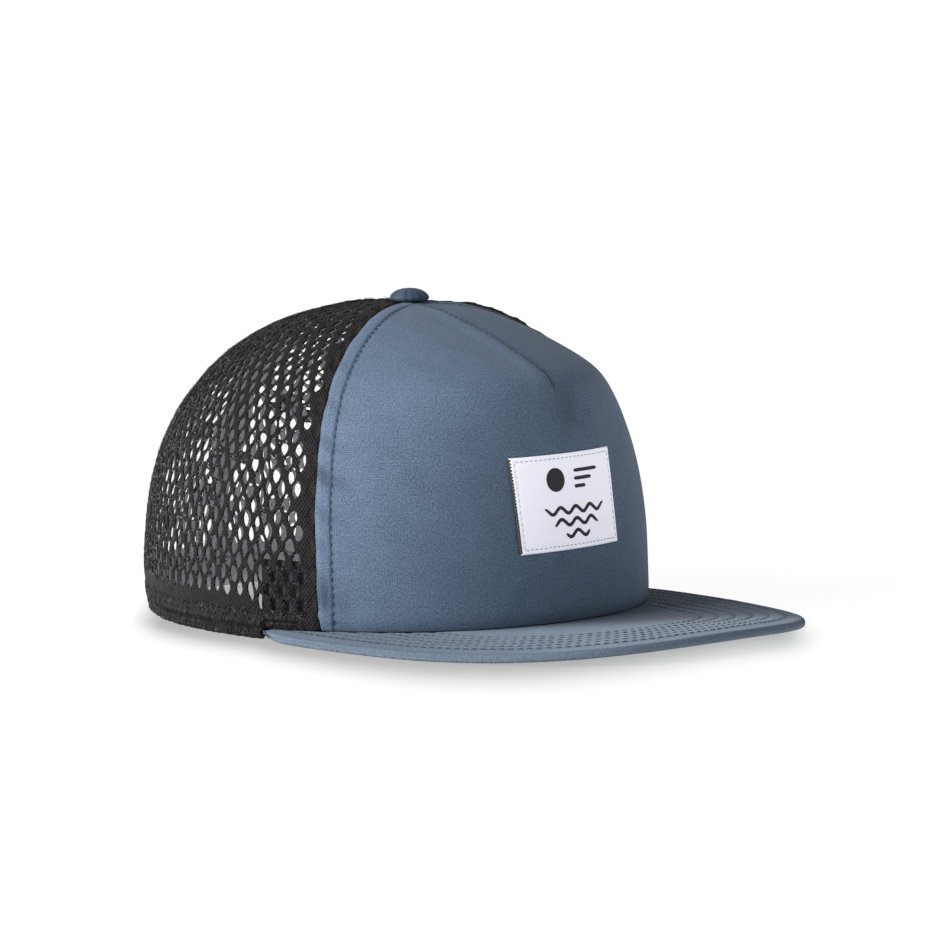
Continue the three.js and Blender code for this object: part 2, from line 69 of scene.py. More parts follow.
# Crown
CROWN_HALF_WIDTH = 88
CROWN_FRONT_REACH = 86
CROWN_BACK_REACH = 110
CROWN_HEIGHT = 110
FRONT_PLAN_POWER = 2.08
BACK_PLAN_POWER = 2.03
SIDE_PROFILE = {"straight": 0.116, "up_power": 2.56, "out_power": 1.98, "tuck": 0}
BACK_PROFILE = {"straight": 0.116, "up_power": 2.2, "out_power": 2.58, "tuck": 0.031}
FRONT_PROFILE = {"wall_start": 0.98, "wall_lean": 0.117, "roof_drop": 0.256, "roof_curve": 1.46, "corner": 14}
FRONT_SPREAD = 2.9
BACK_SPREAD = 1.27
CLOTH_GAP = 0.3
HEM_HEIGHT = 9
BRIM_THICKNESS = 4
TIP_ANGLE = math.radians(78)
RISEN_ANGLE = math.radians(83)
BUTTON_HOLE_RADIUS = 4

# Front panel
FRONT_WALL = 2
SEAM_ANGLE_AT_RIM = math.radians(63.2)
SEAM_ANGLE_AT_TOP = math.radians(68.4)
SEAM_STRIP_WIDTH = 5
SEAM_STRIP_LIFT = 0.6
DART_END_HEIGHT = 88
DART_DEPTH = 0.9
DART_HALF_WIDTH = 3
DENT_DEPTH = 1.7
DENT_HALF_WIDTH = 6.5
DENT_HALF_HEIGHT = 9
DENT_DROP = 8
DENT_SIDE = 5
RELIEF_START_RADIUS = 20
BUTTON_RADIUS = 7.2

# Net
NET_THICKNESS = 0.9
HOLE_PITCH = 5.9
HOLE_ROW = 4.9
HOLE_HALF_WIDTH = 1.68
HOLE_HALF_HEIGHT = 3.1
HOLE_POWER = 1.65
# The holes are narrower towards the top, by these shares
TOP_HOLE_WIDTH = 0.5
TOP_HOLE_HEIGHT = 0.78
HOLE_SIDES = 14
# The net's columns lean forward as they climb, more and more
HOLE_LEAN_LOW = math.radians(4)
HOLE_LEAN_HIGH = math.radians(22)

# Brim
BRIM_HALF_WIDTH = 90.8
BRIM_SIDE_Y = -39.9
BRIM_FRONT_Y = -162.8
BRIM_PLAN_POWER_X = 2.4
BRIM_PLAN_POWER_Y = 2.3
BRIM_ARCH = 5.3
BRIM_TOP_ROUND = 1.5
BRIM_LOW_ROUND = 1.2
BRIM_THIN_EDGE = 0.9
BRIM_THIN_REACH = 11
BRIM_POINT_RISE = 2.3
BRIM_POINT_LENGTH = 15
BRIM_TIP_WIDTH = 3
BRIM_STITCH_ROWS = 6
BRIM_STITCH_FIRST = 7
BRIM_STITCH_PITCH = 6

# How strongly the label glows: painted light
LABEL_PAINTED_GLOW = 0.25

# Label
LABEL_WIDTH = 49.4
LABEL_HEIGHT = 33.9
LABEL_THICKNESS = 1
LABEL_CENTRE_HEIGHT = 46.6
LABEL_SIDE = 2.1
LABEL_TURN = math.radians(0.9)
LABEL_LEAN = 0.045
LABEL_STITCH_INSET = 1.5


# Small mathematics

def lerp(a, b, part):
    return a + (b - a) * part


def smoothstep(value, low, high):
    part = np.clip((value - low) / (high - low), 0, 1)
    return part * part * (3 - 2 * part)


def unit(vectors):
    return vectors / np.maximum(np.linalg.norm(vectors, axis=-1, keepdims=True), 1e-9)


def lattice_value(x, y, seed):
    """A repeatable number from -1 to 1 for each whole x and y."""
    mixed = np.sin(x * 127.1 + y * 311.7 + seed * 74.7) * 43758.5453
    return 2 * (mixed - np.floor(mixed)) - 1


def soft_noise(x, y, size, seed):
    """Smooth noise from -1 to 1 with humps about size wide."""
    x = np.asarray(x, float) / size
    y = np.asarray(y, float) / size
    left, low = np.floor(x), np.floor(y)
    across, upward = x - left, y - low
    across = across * across * (3 - 2 * across)
    upward = upward * upward * (3 - 2 * upward)
    bottom = lerp(lattice_value(left, low, seed), lattice_value(left + 1, low, seed), across)
    top = lerp(lattice_value(left, low + 1, seed), lattice_value(left + 1, low + 1, seed), across)
    return lerp(bottom, top, upward)


# The crown's outer face

def round_reach(up, straight, up_power, out_power, tuck):
    climb = np.clip((up - straight) / (1 - straight), 0, 1)
    low = np.clip((straight - up) / straight, 0, 1)
    return (1 - climb ** up_power) ** (1 / out_power) - tuck * low ** 2


def front_reach(up, wall_start, wall_lean, roof_drop, roof_curve, corner):
    wall = wall_start - wall_lean * up
    roof = np.maximum((1 - up) / roof_drop, 1e-9) ** (1 / roof_curve)
    return (wall ** -corner + roof ** -corner) ** (-1 / corner)


def crown_at(angle, up):
    """Points of the crown about its own axis. The angle runs from straight ahead towards +X."""
    ahead, across = np.cos(angle), np.sin(angle)
    front = np.maximum(ahead, 0) ** FRONT_SPREAD
    back = np.maximum(-ahead, 0) ** BACK_SPREAD
    out = front * front_reach(up, **FRONT_PROFILE) + back * round_reach(up, **BACK_PROFILE)
    out = out + (1 - front - back) * round_reach(up, **SIDE_PROFILE)
    power = np.where(ahead > 0, FRONT_PLAN_POWER, BACK_PLAN_POWER)
    reach = np.where(ahead > 0, CROWN_FRONT_REACH, CROWN_BACK_REACH)
    square = (np.abs(across) ** power + np.abs(ahead) ** power) ** (-1 / power)
    x = CROWN_HALF_WIDTH * across * square * out
    y = -reach * ahead * square * out + AXIS_Y
    return np.stack([x, y, np.broadcast_to(BRIM_THICKNESS + up * CROWN_HEIGHT, x.shape)], axis=-1)


def hem_top(angle):
    return lerp(BRIM_THICKNESS, HEM_HEIGHT, smoothstep(np.abs(angle), TIP_ANGLE, RISEN_ANGLE))


TABLE_ANGLES = np.linspace(-math.pi, math.pi, 1441)
TABLE_SHARES = np.linspace(0, 1, 501)
LINE_STEPS = 500


def crown_line(angle):
    """Points at even shares of the way from the cloth's lower edge to the button's hole, and the length."""
    start = math.asin((hem_top(angle) + CLOTH_GAP - BRIM_THICKNESS) / CROWN_HEIGHT)
    points = crown_at(angle, np.sin(np.linspace(start, math.pi / 2, LINE_STEPS)))
    radius = np.hypot(points[:, 0], points[:, 1] - AXIS_Y)
    inside = int(np.argmax(radius <= BUTTON_HOLE_RADIUS))
    part = (radius[inside - 1] - BUTTON_HOLE_RADIUS) / (radius[inside - 1] - radius[inside])
    points = np.vstack([points[:inside], lerp(points[inside - 1], points[inside], part)])
    lengths = np.concatenate([[0], np.cumsum(np.linalg.norm(np.diff(points, axis=0), axis=1))])
    wanted = TABLE_SHARES * lengths[-1]
    return np.stack([np.interp(wanted, lengths, points[:, k]) for k in range(3)], axis=-1), lengths[-1]


def pick(table, row, column):
    """Values between the entries of a table, at rows and columns that needn't be whole."""
    row = np.clip(row, 0, table.shape[0] - 1.000001)
    column = np.clip(column, 0, table.shape[1] - 1.000001)
    i, j = row.astype(int), column.astype(int)
    up, right = row - i, column - j
    if table.ndim == 3:
        up, right = up[..., None], right[..., None]
    low = lerp(table[i, j], table[i, j + 1], right)
    high = lerp(table[i + 1, j], table[i + 1, j + 1], right)
    return lerp(low, high, up)


crown_lines = [crown_line(angle) for angle in TABLE_ANGLES]
CROWN_POINTS = np.stack([points for points, _ in crown_lines])
LINE_LENGTHS = np.array([length for _, length in crown_lines])
CROWN_NORMALS = unit(np.cross(np.gradient(CROWN_POINTS, axis=0), np.gradient(CROWN_POINTS, axis=1)))


def table_place(angle, share):
    angle, share = np.broadcast_arrays(np.asarray(angle, float), np.asarray(share, float))
    row = (angle + math.pi) / TURN * (len(TABLE_ANGLES) - 1)
    return row, share * (len(TABLE_SHARES) - 1)


def crown(angle, share, out=0.0):
    """Points of the crown's cloth, a distance out from its outer face."""
    row, column = table_place(angle, share)
    normal = unit(pick(CROWN_NORMALS, row, column))
    return pick(CROWN_POINTS, row, column) + normal * np.asarray(out, float)[..., None]


# Distances across each level line, from the middle of the front towards +X and round to the back
HALF = len(TABLE_ANGLES) // 2
ahead_lines = CROWN_POINTS[HALF:]
steps_across = np.linalg.norm(np.diff(ahead_lines, axis=0), axis=-1)
ACROSS = np.concatenate([np.zeros((1, len(TABLE_SHARES))), np.cumsum(steps_across, axis=0)]).T
ROUND_LENGTHS = ACROSS[:, -1]
PARTS = np.linspace(0, 1, 801)
ANGLE_TABLE = np.stack([np.interp(PARTS * row[-1], row, TABLE_ANGLES[HALF:]) for row in ACROSS])
SEAM_ANGLES = lerp(SEAM_ANGLE_AT_RIM, SEAM_ANGLE_AT_TOP, smoothstep(TABLE_SHARES, 0, 1))
SEAM_TABLE = np.array([np.interp(angle, TABLE_ANGLES[HALF:], row) for angle, row in zip(SEAM_ANGLES, ACROSS)])


def seam_across(share):
    """Distance from the middle of the front to the seam."""
    return np.interp(share, TABLE_SHARES, SEAM_TABLE)


def angle_across(across, share):
    """Angle of the point that lies this far across from the middle of the front."""
    across, share = np.broadcast_arrays(np.asarray(across, float), np.asarray(share, float))
    whole = np.interp(share, TABLE_SHARES, ROUND_LENGTHS)
    column = np.clip(np.abs(across) / whole, 0, 1) * (len(PARTS) - 1)
    return np.sign(across) * pick(ANGLE_TABLE, share * (len(TABLE_SHARES) - 1), column)


def share_at_height(angle, height):
    """Share of the way up the crown at which it has this height."""
    angle, height = np.broadcast_arrays(np.asarray(angle, float), np.asarray(height, float))
    low, high = np.zeros(angle.shape), np.ones(angle.shape)
    for _ in range(24):
        middle = (low + high) / 2
        below = crown(angle, middle)[..., 2] < height
        low, high = np.where(below, middle, low), np.where(below, high, middle)
    return low


SIDE_LENGTH = float(np.interp(math.pi / 2, TABLE_ANGLES, LINE_LENGTHS))


# Meshes

def make_mesh(name, vertices, faces, uv=None, marks=None):
    """A smooth-shaded object. uv has two numbers a vertex, and marks named lists of one number a vertex."""
    mesh = bpy.data.meshes.new(name)
    mesh.from_pydata((np.asarray(vertices) * MM).tolist(), [], [list(map(int, face)) for face in faces])
    corner = np.empty(len(mesh.loops), dtype=np.int32)
    mesh.loops.foreach_get("vertex_index", corner)
    if uv is not None:
        layer = mesh.uv_layers.new(name="cloth")
        layer.data.foreach_set("uv", np.asarray(uv, np.float32)[corner].ravel())
    for mark, values in (marks or {}).items():
        attribute = mesh.attributes.new(mark, "FLOAT", "POINT")
        attribute.data.foreach_set("value", np.asarray(values, np.float32))
    mesh.polygons.foreach_set("use_smooth", [True] * len(mesh.polygons))
    mesh.update()
    made = bpy.data.objects.new(name, mesh)
    bpy.context.scene.collection.objects.link(made)
    return made


def finish_piece(made, material, node=None):
    made.data.materials.append(material)
    if node:
        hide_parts(node)
    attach(made, "root")
    return made


def grid_faces(rows, columns):
    row, column = np.mgrid[0 : rows - 1, 0 : columns - 1]
    corner = (row * columns + column).ravel()
    return np.stack([corner, corner + 1, corner + columns + 1, corner + columns], axis=1)


def thicken(outer, inner, faces):
    """Vertices and faces of a closed sheet: the outer face, the inner face, and a wall on each open edge."""
    count = len(outer)
    edges = {}
    for face in faces:
        face = [int(corner) for corner in face]
        for a, b in zip(face, face[1:] + face[:1]):
            edges[(a, b)] = True
    back = [[int(corner) + count for corner in reversed(list(face))] for face in faces]
    walls = [[b, a, a + count, b + count] for a, b in edges if (b, a) not in edges]
    return np.vstack([outer, inner]), [list(map(int, face)) for face in faces] + back + walls


# Materials

class Nodes:
    """Builds the node tree of one material."""

    def __init__(self, name):
        self.material = bpy.data.materials.new(name)
        self.material.use_nodes = True
        self.tree = self.material.node_tree
        self.shader = self.tree.nodes["Principled BSDF"]

    def add(self, kind, values=None, **settings):
        node = self.tree.nodes.new(kind)
        for setting, value in settings.items():
            setattr(node, setting, value)
        for socket, value in (values or {}).items():
            self.put(node.inputs[socket], value)
        return node

    def put(self, socket, value):
        if isinstance(value, bpy.types.NodeSocket):
            self.tree.links.new(value, socket)
        else:
            socket.default_value = value

    def math(self, operation, a, b=0.0, c=0.0):
        return self.add("ShaderNodeMath", {0: a, 1: b, 2: c}, operation=operation).outputs[0]

    def mark(self, name):
        return self.add("ShaderNodeAttribute", attribute_name=name).outputs["Fac"]

    def cloth_place(self):
        split = self.add("ShaderNodeSeparateXYZ", {0: self.add("ShaderNodeUVMap", uv_map="cloth").outputs[0]})
        return split.outputs[0], split.outputs[1]

    def place(self, x, y, z=0.0):
        return self.add("ShaderNodeCombineXYZ", {0: x, 1: y, 2: z}).outputs[0]

    def noise(self, vector, scale, detail=2.0, rough=0.5):
        values = {"Vector": vector, "Scale": scale, "Detail": detail, "Roughness": rough}
        return self.add("ShaderNodeTexNoise", values).outputs["Fac"]

    def ramp(self, value, low, high, from_low=0.0, from_high=1.0):
        values = {"Value": value, "From Min": from_low, "From Max": from_high, "To Min": low, "To Max": high}
        return self.add("ShaderNodeMapRange", values, interpolation_type="SMOOTHSTEP").outputs["Result"]

    def mix(self, part, a, b):
        node = self.add("ShaderNodeMix", data_type="RGBA")
        self.put(node.inputs["Factor"], part)
        self.put(node.inputs["A"], a)
        self.put(node.inputs["B"], b)
        return node.outputs["Result"]

    def bump(self, height, distance, strength=1.0, normal=None):
        values = {"Height": height, "Distance": distance * MM, "Strength": strength}
        if normal is not None:
            values["Normal"] = normal
        return self.add("ShaderNodeBump", values).outputs["Normal"]


def color(hexadecimal):
    """A linear colour from the six figures of a screen colour."""
    values = [int(hexadecimal[i : i + 2], 16) / 255 for i in (0, 2, 4)]
    return tuple(v / 12.92 if v <= 0.04045 else ((v + 0.055) / 1.055) ** 2.4 for v in values) + (1.0,)


THREAD_PITCH = 0.8


def woven(nodes, u, v, dark, light, dash=1.0):
    """Colour and height of a close plain weave, from a place on the cloth in millimetres."""
    flat = nodes.place(nodes.math("MULTIPLY", u, 1.2 / dash), nodes.math("MULTIPLY", v, 2.6 / dash))
    steep = nodes.place(nodes.math("MULTIPLY", u, 2.6 / dash), nodes.math("MULTIPLY", v, 1.2 / dash), 7.0)
    weft = nodes.noise(flat, 1.0, 2.0, 0.6)
    warp = nodes.noise(steep, 1.0, 2.0, 0.6)
    slow = nodes.noise(nodes.place(u, v, 3.0), 0.11, 3.0, 0.6)
    turns = TURN / (THREAD_PITCH * dash)
    across = nodes.math("SINE", nodes.math("MULTIPLY_ADD", warp, 1.0, nodes.math("MULTIPLY", u, turns)))
    upward = nodes.math("SINE", nodes.math("MULTIPLY_ADD", weft, 1.0, nodes.math("MULTIPLY", v, turns)))
    knots = nodes.math("ADD", across, upward)
    height = nodes.math("MULTIPLY_ADD", weft, 1.2, nodes.math("MULTIPLY_ADD", knots, 0.07, warp))
    tone = nodes.math("ADD", height, nodes.math("MULTIPLY_ADD", slow, 0.2, -0.1))
    return nodes.mix(nodes.ramp(tone, 0.0, 1.0, 0.55, 1.65), dark, light), height


BLUE_DARK = color("334255")
BLUE_LIGHT = color("6c7f96")
# The brim's cloth is painted paler and greyer than the front's: a painted sheen from the sky on the brim.
BRIM_DARK_WITH_SHEEN = color("4e5d6f")
BRIM_LIGHT_WITH_SHEEN = color("92a2b6")
# The next two colours are painted shade: along the stitch grooves, and where the "fold" mark lies.
STITCH_GROOVE_SHADE = color("1a2430")
PAINTED_SHADE_DARK = color("222b38")
KNIT_DARK = color("010101")
KNIT_LIGHT = color("2b2a2c")
CLOSED_HOLE = color("262122")
FUZZ_LIGHT = color("2e2d2f")
# Painted highlight colour for the yarn loops
LOOP_HIGHLIGHT = color("757375")
# Painted light for the net's inner face
NET_INSIDE_PAINTED_LIGHT = color("dcdcde")


def blue_cloth(name, lines, dark=BLUE_DARK, light=BLUE_LIGHT):
    """The front's and brim's cloth. lines gives the distance from the nearest row of stitches. The cloth carries
    painted shade along the stitch rows and where the "fold" mark lies, and its gloss is dulled there too.
    """
    nodes = Nodes(name)
    u, v = nodes.cloth_place()
    shade, height = woven(nodes, u, v, dark, light)
    normal = nodes.bump(height, 0.16, 0.8)
    away = lines(nodes, u, v)
    if away is not None:
        # Painted shade along the stitch rows, where the thread draws the cloth into a groove; the bump gives the
        # groove's own relief.
        drawn_in = nodes.ramp(away, 1.0, 0.0, 0.1, 0.5)
        shade = nodes.mix(nodes.math("MULTIPLY", drawn_in, 0.15), shade, STITCH_GROOVE_SHADE)
        normal = nodes.bump(nodes.math("SUBTRACT", 1.0, drawn_in), 0.14, 0.7, normal)
    # Painted shade: the "fold" mark darkens the cloth and dulls its gloss.
    shade = nodes.mix(nodes.mark("fold"), shade, PAINTED_SHADE_DARK)
    nodes.put(nodes.shader.inputs["Base Color"], shade)
    nodes.put(nodes.shader.inputs["Normal"], normal)
    nodes.put(nodes.shader.inputs["Roughness"], nodes.ramp(height, 0.62, 0.78, 0.7, 1.5))
    gloss = nodes.math("MULTIPLY_ADD", nodes.mark("fold"), -0.15, 0.14)
    nodes.put(nodes.shader.inputs["Specular IOR Level"], nodes.math("MAXIMUM", gloss, 0.0))
    nodes.shader.inputs["Sheen Weight"].default_value = 0.05
    nodes.shader.inputs["Sheen Roughness"].default_value = 0.4
    return nodes.material


def front_lines(nodes, u, v):
    seam = nodes.math("ABSOLUTE", nodes.math("SUBTRACT", nodes.mark("seam_mm"), SEAM_STRIP_WIDTH))
    return seam


def brim_lines(nodes, u, v):
    rows = BRIM_STITCH_ROWS - 1
    from_first = nodes.math("SUBTRACT", nodes.mark("edge_mm"), BRIM_STITCH_FIRST)
    row = nodes.math("ROUND", nodes.math("DIVIDE", from_first, BRIM_STITCH_PITCH))
    row = nodes.math("MINIMUM", nodes.math("MAXIMUM", row, 0.0), rows)
    return nodes.math("ABSOLUTE", nodes.math("SUBTRACT", from_first, nodes.math("MULTIPLY", row, BRIM_STITCH_PITCH)))


def no_lines(nodes, u, v):
    return None


def net_knit(name):
    """Black fuzzy knit: crossing yarns, loose fibres, and a browner backing in the closed holes; painted highlights on
    the yarn loops at the cut holes' rims, and painted light on the inner face towards the back.
    """
    nodes = Nodes(name)
    u, v = nodes.cloth_place()
    place = nodes.place(u, v)
    bend = nodes.noise(place, 0.5, 2.0)
    across = nodes.math("MULTIPLY_ADD", bend, 6.0, nodes.math("MULTIPLY", u, 4.4))
    one = nodes.math("SINE", nodes.math("MULTIPLY_ADD", v, 3.6, across))
    two = nodes.math("SINE", nodes.math("MULTIPLY_ADD", v, -3.6, across))
    yarn = nodes.math("MAXIMUM", one, two)
    fibre = nodes.noise(place, 1.9, 1.0, 0.5)
    height = nodes.math("MULTIPLY_ADD", fibre, 1.0, nodes.math("MULTIPLY", yarn, 0.5))
    light = nodes.math("MULTIPLY", nodes.ramp(fibre, 0.3, 1.0, 0.4, 0.62), nodes.ramp(yarn, 0.3, 1.0, -0.1, 1.0))
    knit = nodes.mix(light, KNIT_DARK, KNIT_LIGHT)
    knit = nodes.mix(nodes.mark("closed"), knit, CLOSED_HOLE)
    # Painted highlights: pale specks on the yarn loops, where the "rim" mark lies.
    loops = nodes.ramp(nodes.noise(place, 0.8, 1.0), 0.0, 1.0, 0.54, 0.62)
    knit = nodes.mix(nodes.math("MULTIPLY", loops, nodes.mark("rim")), knit, LOOP_HIGHLIGHT)
    # Painted light: the inner face is mixed towards a pale colour towards the back.
    nodes.put(nodes.shader.inputs["Base Color"], nodes.mix(nodes.mark("painted_inside_light"), knit, NET_INSIDE_PAINTED_LIGHT))
    nodes.put(nodes.shader.inputs["Normal"], nodes.bump(height, 0.4, 0.9))
    nodes.put(nodes.shader.inputs["Roughness"], nodes.ramp(fibre, 0.45, 0.7, 0.3, 0.7))
    nodes.shader.inputs["Specular IOR Level"].default_value = 0.13
    return nodes.material


def fuzz_fibre(name):
    """Fine fibres that stand out of the knit."""
    nodes = Nodes(name)
    u, v = nodes.cloth_place()
    tone = nodes.noise(nodes.place(u, v), 0.9, 2.0, 0.7)
    nodes.put(nodes.shader.inputs["Base Color"], nodes.mix(nodes.ramp(tone, 0.0, 1.0, 0.4, 0.7), KNIT_DARK, FUZZ_LIGHT))
    nodes.shader.inputs["Roughness"].default_value = 0.6
    nodes.shader.inputs["Specular IOR Level"].default_value = 0.15
    return nodes.material


def thread(name, dark, light):
    """Twisted sewing thread, with the twist across the stitch."""
    nodes = Nodes(name)
    u, v = nodes.cloth_place()
    turn = nodes.math("SINE", nodes.math("MULTIPLY", nodes.math("ADD", u, nodes.math("MULTIPLY", v, 0.6)), 11.0))
    nodes.put(nodes.shader.inputs["Base Color"], nodes.mix(nodes.ramp(turn, 0.0, 1.0, -1.0, 1.0), dark, light))
    nodes.put(nodes.shader.inputs["Normal"], nodes.bump(turn, 0.06, 0.8))
    nodes.shader.inputs["Roughness"].default_value = 0.55
    return nodes.material


def label_weave(name):
    nodes = Nodes(name)
    u, v = nodes.cloth_place()
    shade, height = woven(nodes, u, v, color("e2e2ee"), color("f6f6fc"), 0.7)
    nodes.put(nodes.shader.inputs["Base Color"], shade)
    nodes.put(nodes.shader.inputs["Normal"], nodes.bump(height, 0.03, 0.6))
    nodes.put(nodes.shader.inputs["Roughness"], nodes.ramp(height, 0.5, 0.65, 0.7, 1.5))
    # Painted light: the label glows a little, which keeps it white.
    nodes.shader.inputs["Emission Color"].default_value = color("f0f0ff")
    nodes.shader.inputs["Emission Strength"].default_value = LABEL_PAINTED_GLOW
    return nodes.material


def print_weave(name):
    nodes = Nodes(name)
    u, v = nodes.cloth_place()
    shade, height = woven(nodes, u, v, color("08080a"), color("1a1a1e"), 0.7)
    nodes.put(nodes.shader.inputs["Base Color"], shade)
    nodes.put(nodes.shader.inputs["Normal"], nodes.bump(height, 0.03, 0.6))
    nodes.shader.inputs["Roughness"].default_value = 0.6
    return nodes.material


def band_weave(name):
    nodes = Nodes(name)
    u, v = nodes.cloth_place()
    rib = nodes.math("SINE", nodes.math("MULTIPLY", nodes.math("ADD", u, v), TURN / 1.1))
    fine = nodes.noise(nodes.place(u, v), 2.0, 3.0, 0.6)
    height = nodes.math("ADD", rib, fine)
    nodes.put(nodes.shader.inputs["Base Color"], nodes.mix(fine, color("15171a"), color("2b2e33")))
    nodes.put(nodes.shader.inputs["Normal"], nodes.bump(height, 0.1, 0.6))
    nodes.shader.inputs["Roughness"].default_value = 0.6
    return nodes.material


FLOOR_GLOW = 0.92


def floor_paper(name):
    """A pale floor that glows, so that shadows stay light, with a soft shade before the cap."""
    nodes = Nodes(name)
    grain = nodes.noise(nodes.add("ShaderNodeTexCoord").outputs["Object"], 40.0, 2.0)
    clear = nodes.math("SUBTRACT", 1.0, nodes.mark("shade"))
    pale = nodes.mix(grain, (0.11, 0.11, 0.11, 1), (0.13, 0.13, 0.13, 1))
    nodes.put(nodes.shader.inputs["Base Color"], nodes.mix(clear, (0, 0, 0, 1), pale))
    nodes.shader.inputs["Roughness"].default_value = 1.0
    nodes.shader.inputs["Specular IOR Level"].default_value = 0.0
    nodes.shader.inputs["Emission Color"].default_value = (1, 1, 1, 1)
    nodes.put(nodes.shader.inputs["Emission Strength"], nodes.math("MULTIPLY", clear, FLOOR_GLOW))
    return nodes.material


# Front panel

# Soft folds across the seam strips: heights of their middles over the lower edge, half heights and depths; the depths
# also set how dark their painted shade is
PUCKERS = [
    {"height": 11, "half": 7.5, "depth": 0.95},
    {"height": 28, "half": 3.2, "depth": 0.3},
    {"height": 40, "half": 2.6, "depth": 0.4},
    {"height": 53, "half": 3.4, "depth": 0.9},
    {"height": 65, "half": 3.0, "depth": 0.45},
    {"height": 80, "half": 3.2, "depth": 0.3},
    {"height": 97, "half": 3.0, "depth": 0.3},
]
FRONT_ROWS = 230
BASE_ROLL_HEIGHT = 6
BASE_ROLL_DEPTH = 1.1
# Distances of the front's close-set columns from the seam and from the dart
SEAM_COLUMNS = np.array([-0.9, -0.5, -0.2, 0.1, 0.4, 0.8, 1.3, 2, 2.8, 3.5, 4.1, 4.6, 5, 5.4, 5.9, 6.5, 7.4, 8.6])
DART_COLUMNS = np.array([0, 0.25, 0.55, 0.95, 1.5, 2.2, 3, 4, 5.2, 6.6])
PLAIN_COLUMNS = 62
SEAM_WAVE = 0.22
LAP_THICKNESS = 0.5


def front_columns(share):
    """Distances across one level line of the front, from the middle to the seam."""
    wave = SEAM_WAVE * float(soft_noise(share * SIDE_LENGTH, 0, 5, 61))
    whole = seam_across(share) - CLOTH_GAP / 2 + wave
    short = min(1.0, whole / (2.2 * (SEAM_COLUMNS[-1] + DART_COLUMNS[-1])))
    near_dart = DART_COLUMNS * short
    near_seam = whole - SEAM_COLUMNS[::-1] * short
    plain = np.linspace(near_dart[-1], near_seam[0], PLAIN_COLUMNS + 2)[1:-1]
    half = np.concatenate([near_dart, plain, near_seam])
    return np.concatenate([-half[:0:-1], half])


def dart_relief(x, z, clear):
    """The dart: cloth folded towards the wearer's right, with a sharp drop at its middle."""
    above = smoothstep(z, DART_END_HEIGHT - 5, DART_END_HEIGHT + 5)
    fold = smoothstep(-x, -0.3, 0.5) - smoothstep(-x, 2.5, 10)
    groove = np.exp(-((x - 0.4) / 0.6) ** 2)
    hollow = np.exp(-((x - 1.5) / 4.0) ** 2)
    return above * clear * (0.8 * fold - 1.0 * groove - 0.7 * hollow)


def fold_depths(from_seam, height):
    """How deep the soft folds across the seam strips are, in millimetres."""
    depth = 0.0 * height
    for fold in PUCKERS:
        slant = height + 0.5 * (from_seam - SEAM_STRIP_WIDTH) - fold["height"]
        depth = depth + fold["depth"] * smoothstep(fold["half"] - np.abs(slant), 0, 0.5 * fold["half"])
    return depth * smoothstep(8.5 - from_seam, 0, 6) * smoothstep(from_seam, -1.5, 4)


def painted_pucker_shade(from_seam, height):
    """How much painted shade darkens the cloth in the folds across the seam strips."""
    shade = 0.0 * height
    for fold in PUCKERS:
        slant = (height + 0.5 * (from_seam - SEAM_STRIP_WIDTH) - fold["height"]) / fold["half"]
        shade = shade + fold["depth"] * np.exp(-1.3 * slant ** 2)
    return shade * smoothstep(15 - from_seam, 0, 12)


def front_relief(from_seam, height, across):
    strip = smoothstep(SEAM_STRIP_WIDTH + 0.9 - from_seam, 0, 1.8)
    lift = SEAM_STRIP_LIFT * strip * smoothstep(from_seam, -0.9, 1.3)
    stitch_line = 0.12 * np.exp(-((from_seam - SEAM_STRIP_WIDTH) / 0.55) ** 2)
    beads = 0.1 * np.sin(TURN * height / 3.1) * np.exp(-((from_seam - SEAM_STRIP_WIDTH) / 2.0) ** 2)
    near = smoothstep(9 - from_seam, 0, 7)
    folds = -fold_depths(from_seam, height)
    lumps = 0.25 * near * soft_noise(height, across * 0.3, 7, 3)
    broad = 0.35 * soft_noise(across, height, 34, 5) + 0.12 * soft_noise(across, height, 13, 8)
    return lift - stitch_line + beads + folds + lumps + broad


def front_face(share):
    across = np.stack([front_columns(s) for s in share])
    rows = np.broadcast_to(share[:, None], across.shape)
    angle = angle_across(across, rows)
    base = crown(angle, rows)
    x, z = base[..., 0], base[..., 2]
    height = rows * np.interp(angle, TABLE_ANGLES, LINE_LENGTHS)
    from_seam = seam_across(rows) - np.abs(across)
    radius = np.hypot(x, base[..., 1] - AXIS_Y)
    clear = smoothstep(radius, BUTTON_RADIUS, RELIEF_START_RADIUS)
    relief = clear * front_relief(from_seam, height, across) + dart_relief(x, z, clear)
    below = (z - DART_END_HEIGHT + DENT_DROP) / DENT_HALF_HEIGHT
    relief = relief - DENT_DEPTH * np.exp(-(((x - DENT_SIDE) / DENT_HALF_WIDTH) ** 2) - below ** 2)
    roll = BASE_ROLL_DEPTH * (1 - np.clip(height / BASE_ROLL_HEIGHT, 0, 1)) ** 2
    # Painted shade, carried by the "fold" mark: darker in the dent below the dart's end, on the roof's far side, along
    # the dart's fold line, at the rolled lower edge and in the puckers.
    painted_dent_shade = 0.3 * np.exp(-(((x - DENT_SIDE) / DENT_HALF_WIDTH) ** 2) - below ** 2)
    painted_far_roof_shade = 0.16 * smoothstep(x, 0, 1) * smoothstep(z, DART_END_HEIGHT - 4, DART_END_HEIGHT + 8)
    painted_crease_shade = 0.55 * np.exp(-((x - 0.5) / 0.5) ** 2) * smoothstep(z, DART_END_HEIGHT - 4, DART_END_HEIGHT + 2) * clear
    painted_base_shade = 0.35 * (1 - np.clip(height / BASE_ROLL_HEIGHT, 0, 1)) ** 2
    fold = np.clip(0.5 * painted_pucker_shade(from_seam, height) + painted_dent_shade + painted_far_roof_shade + painted_crease_shade + painted_base_shade, 0, 0.8)
    return angle, rows, across, height, from_seam, relief - roll, fold


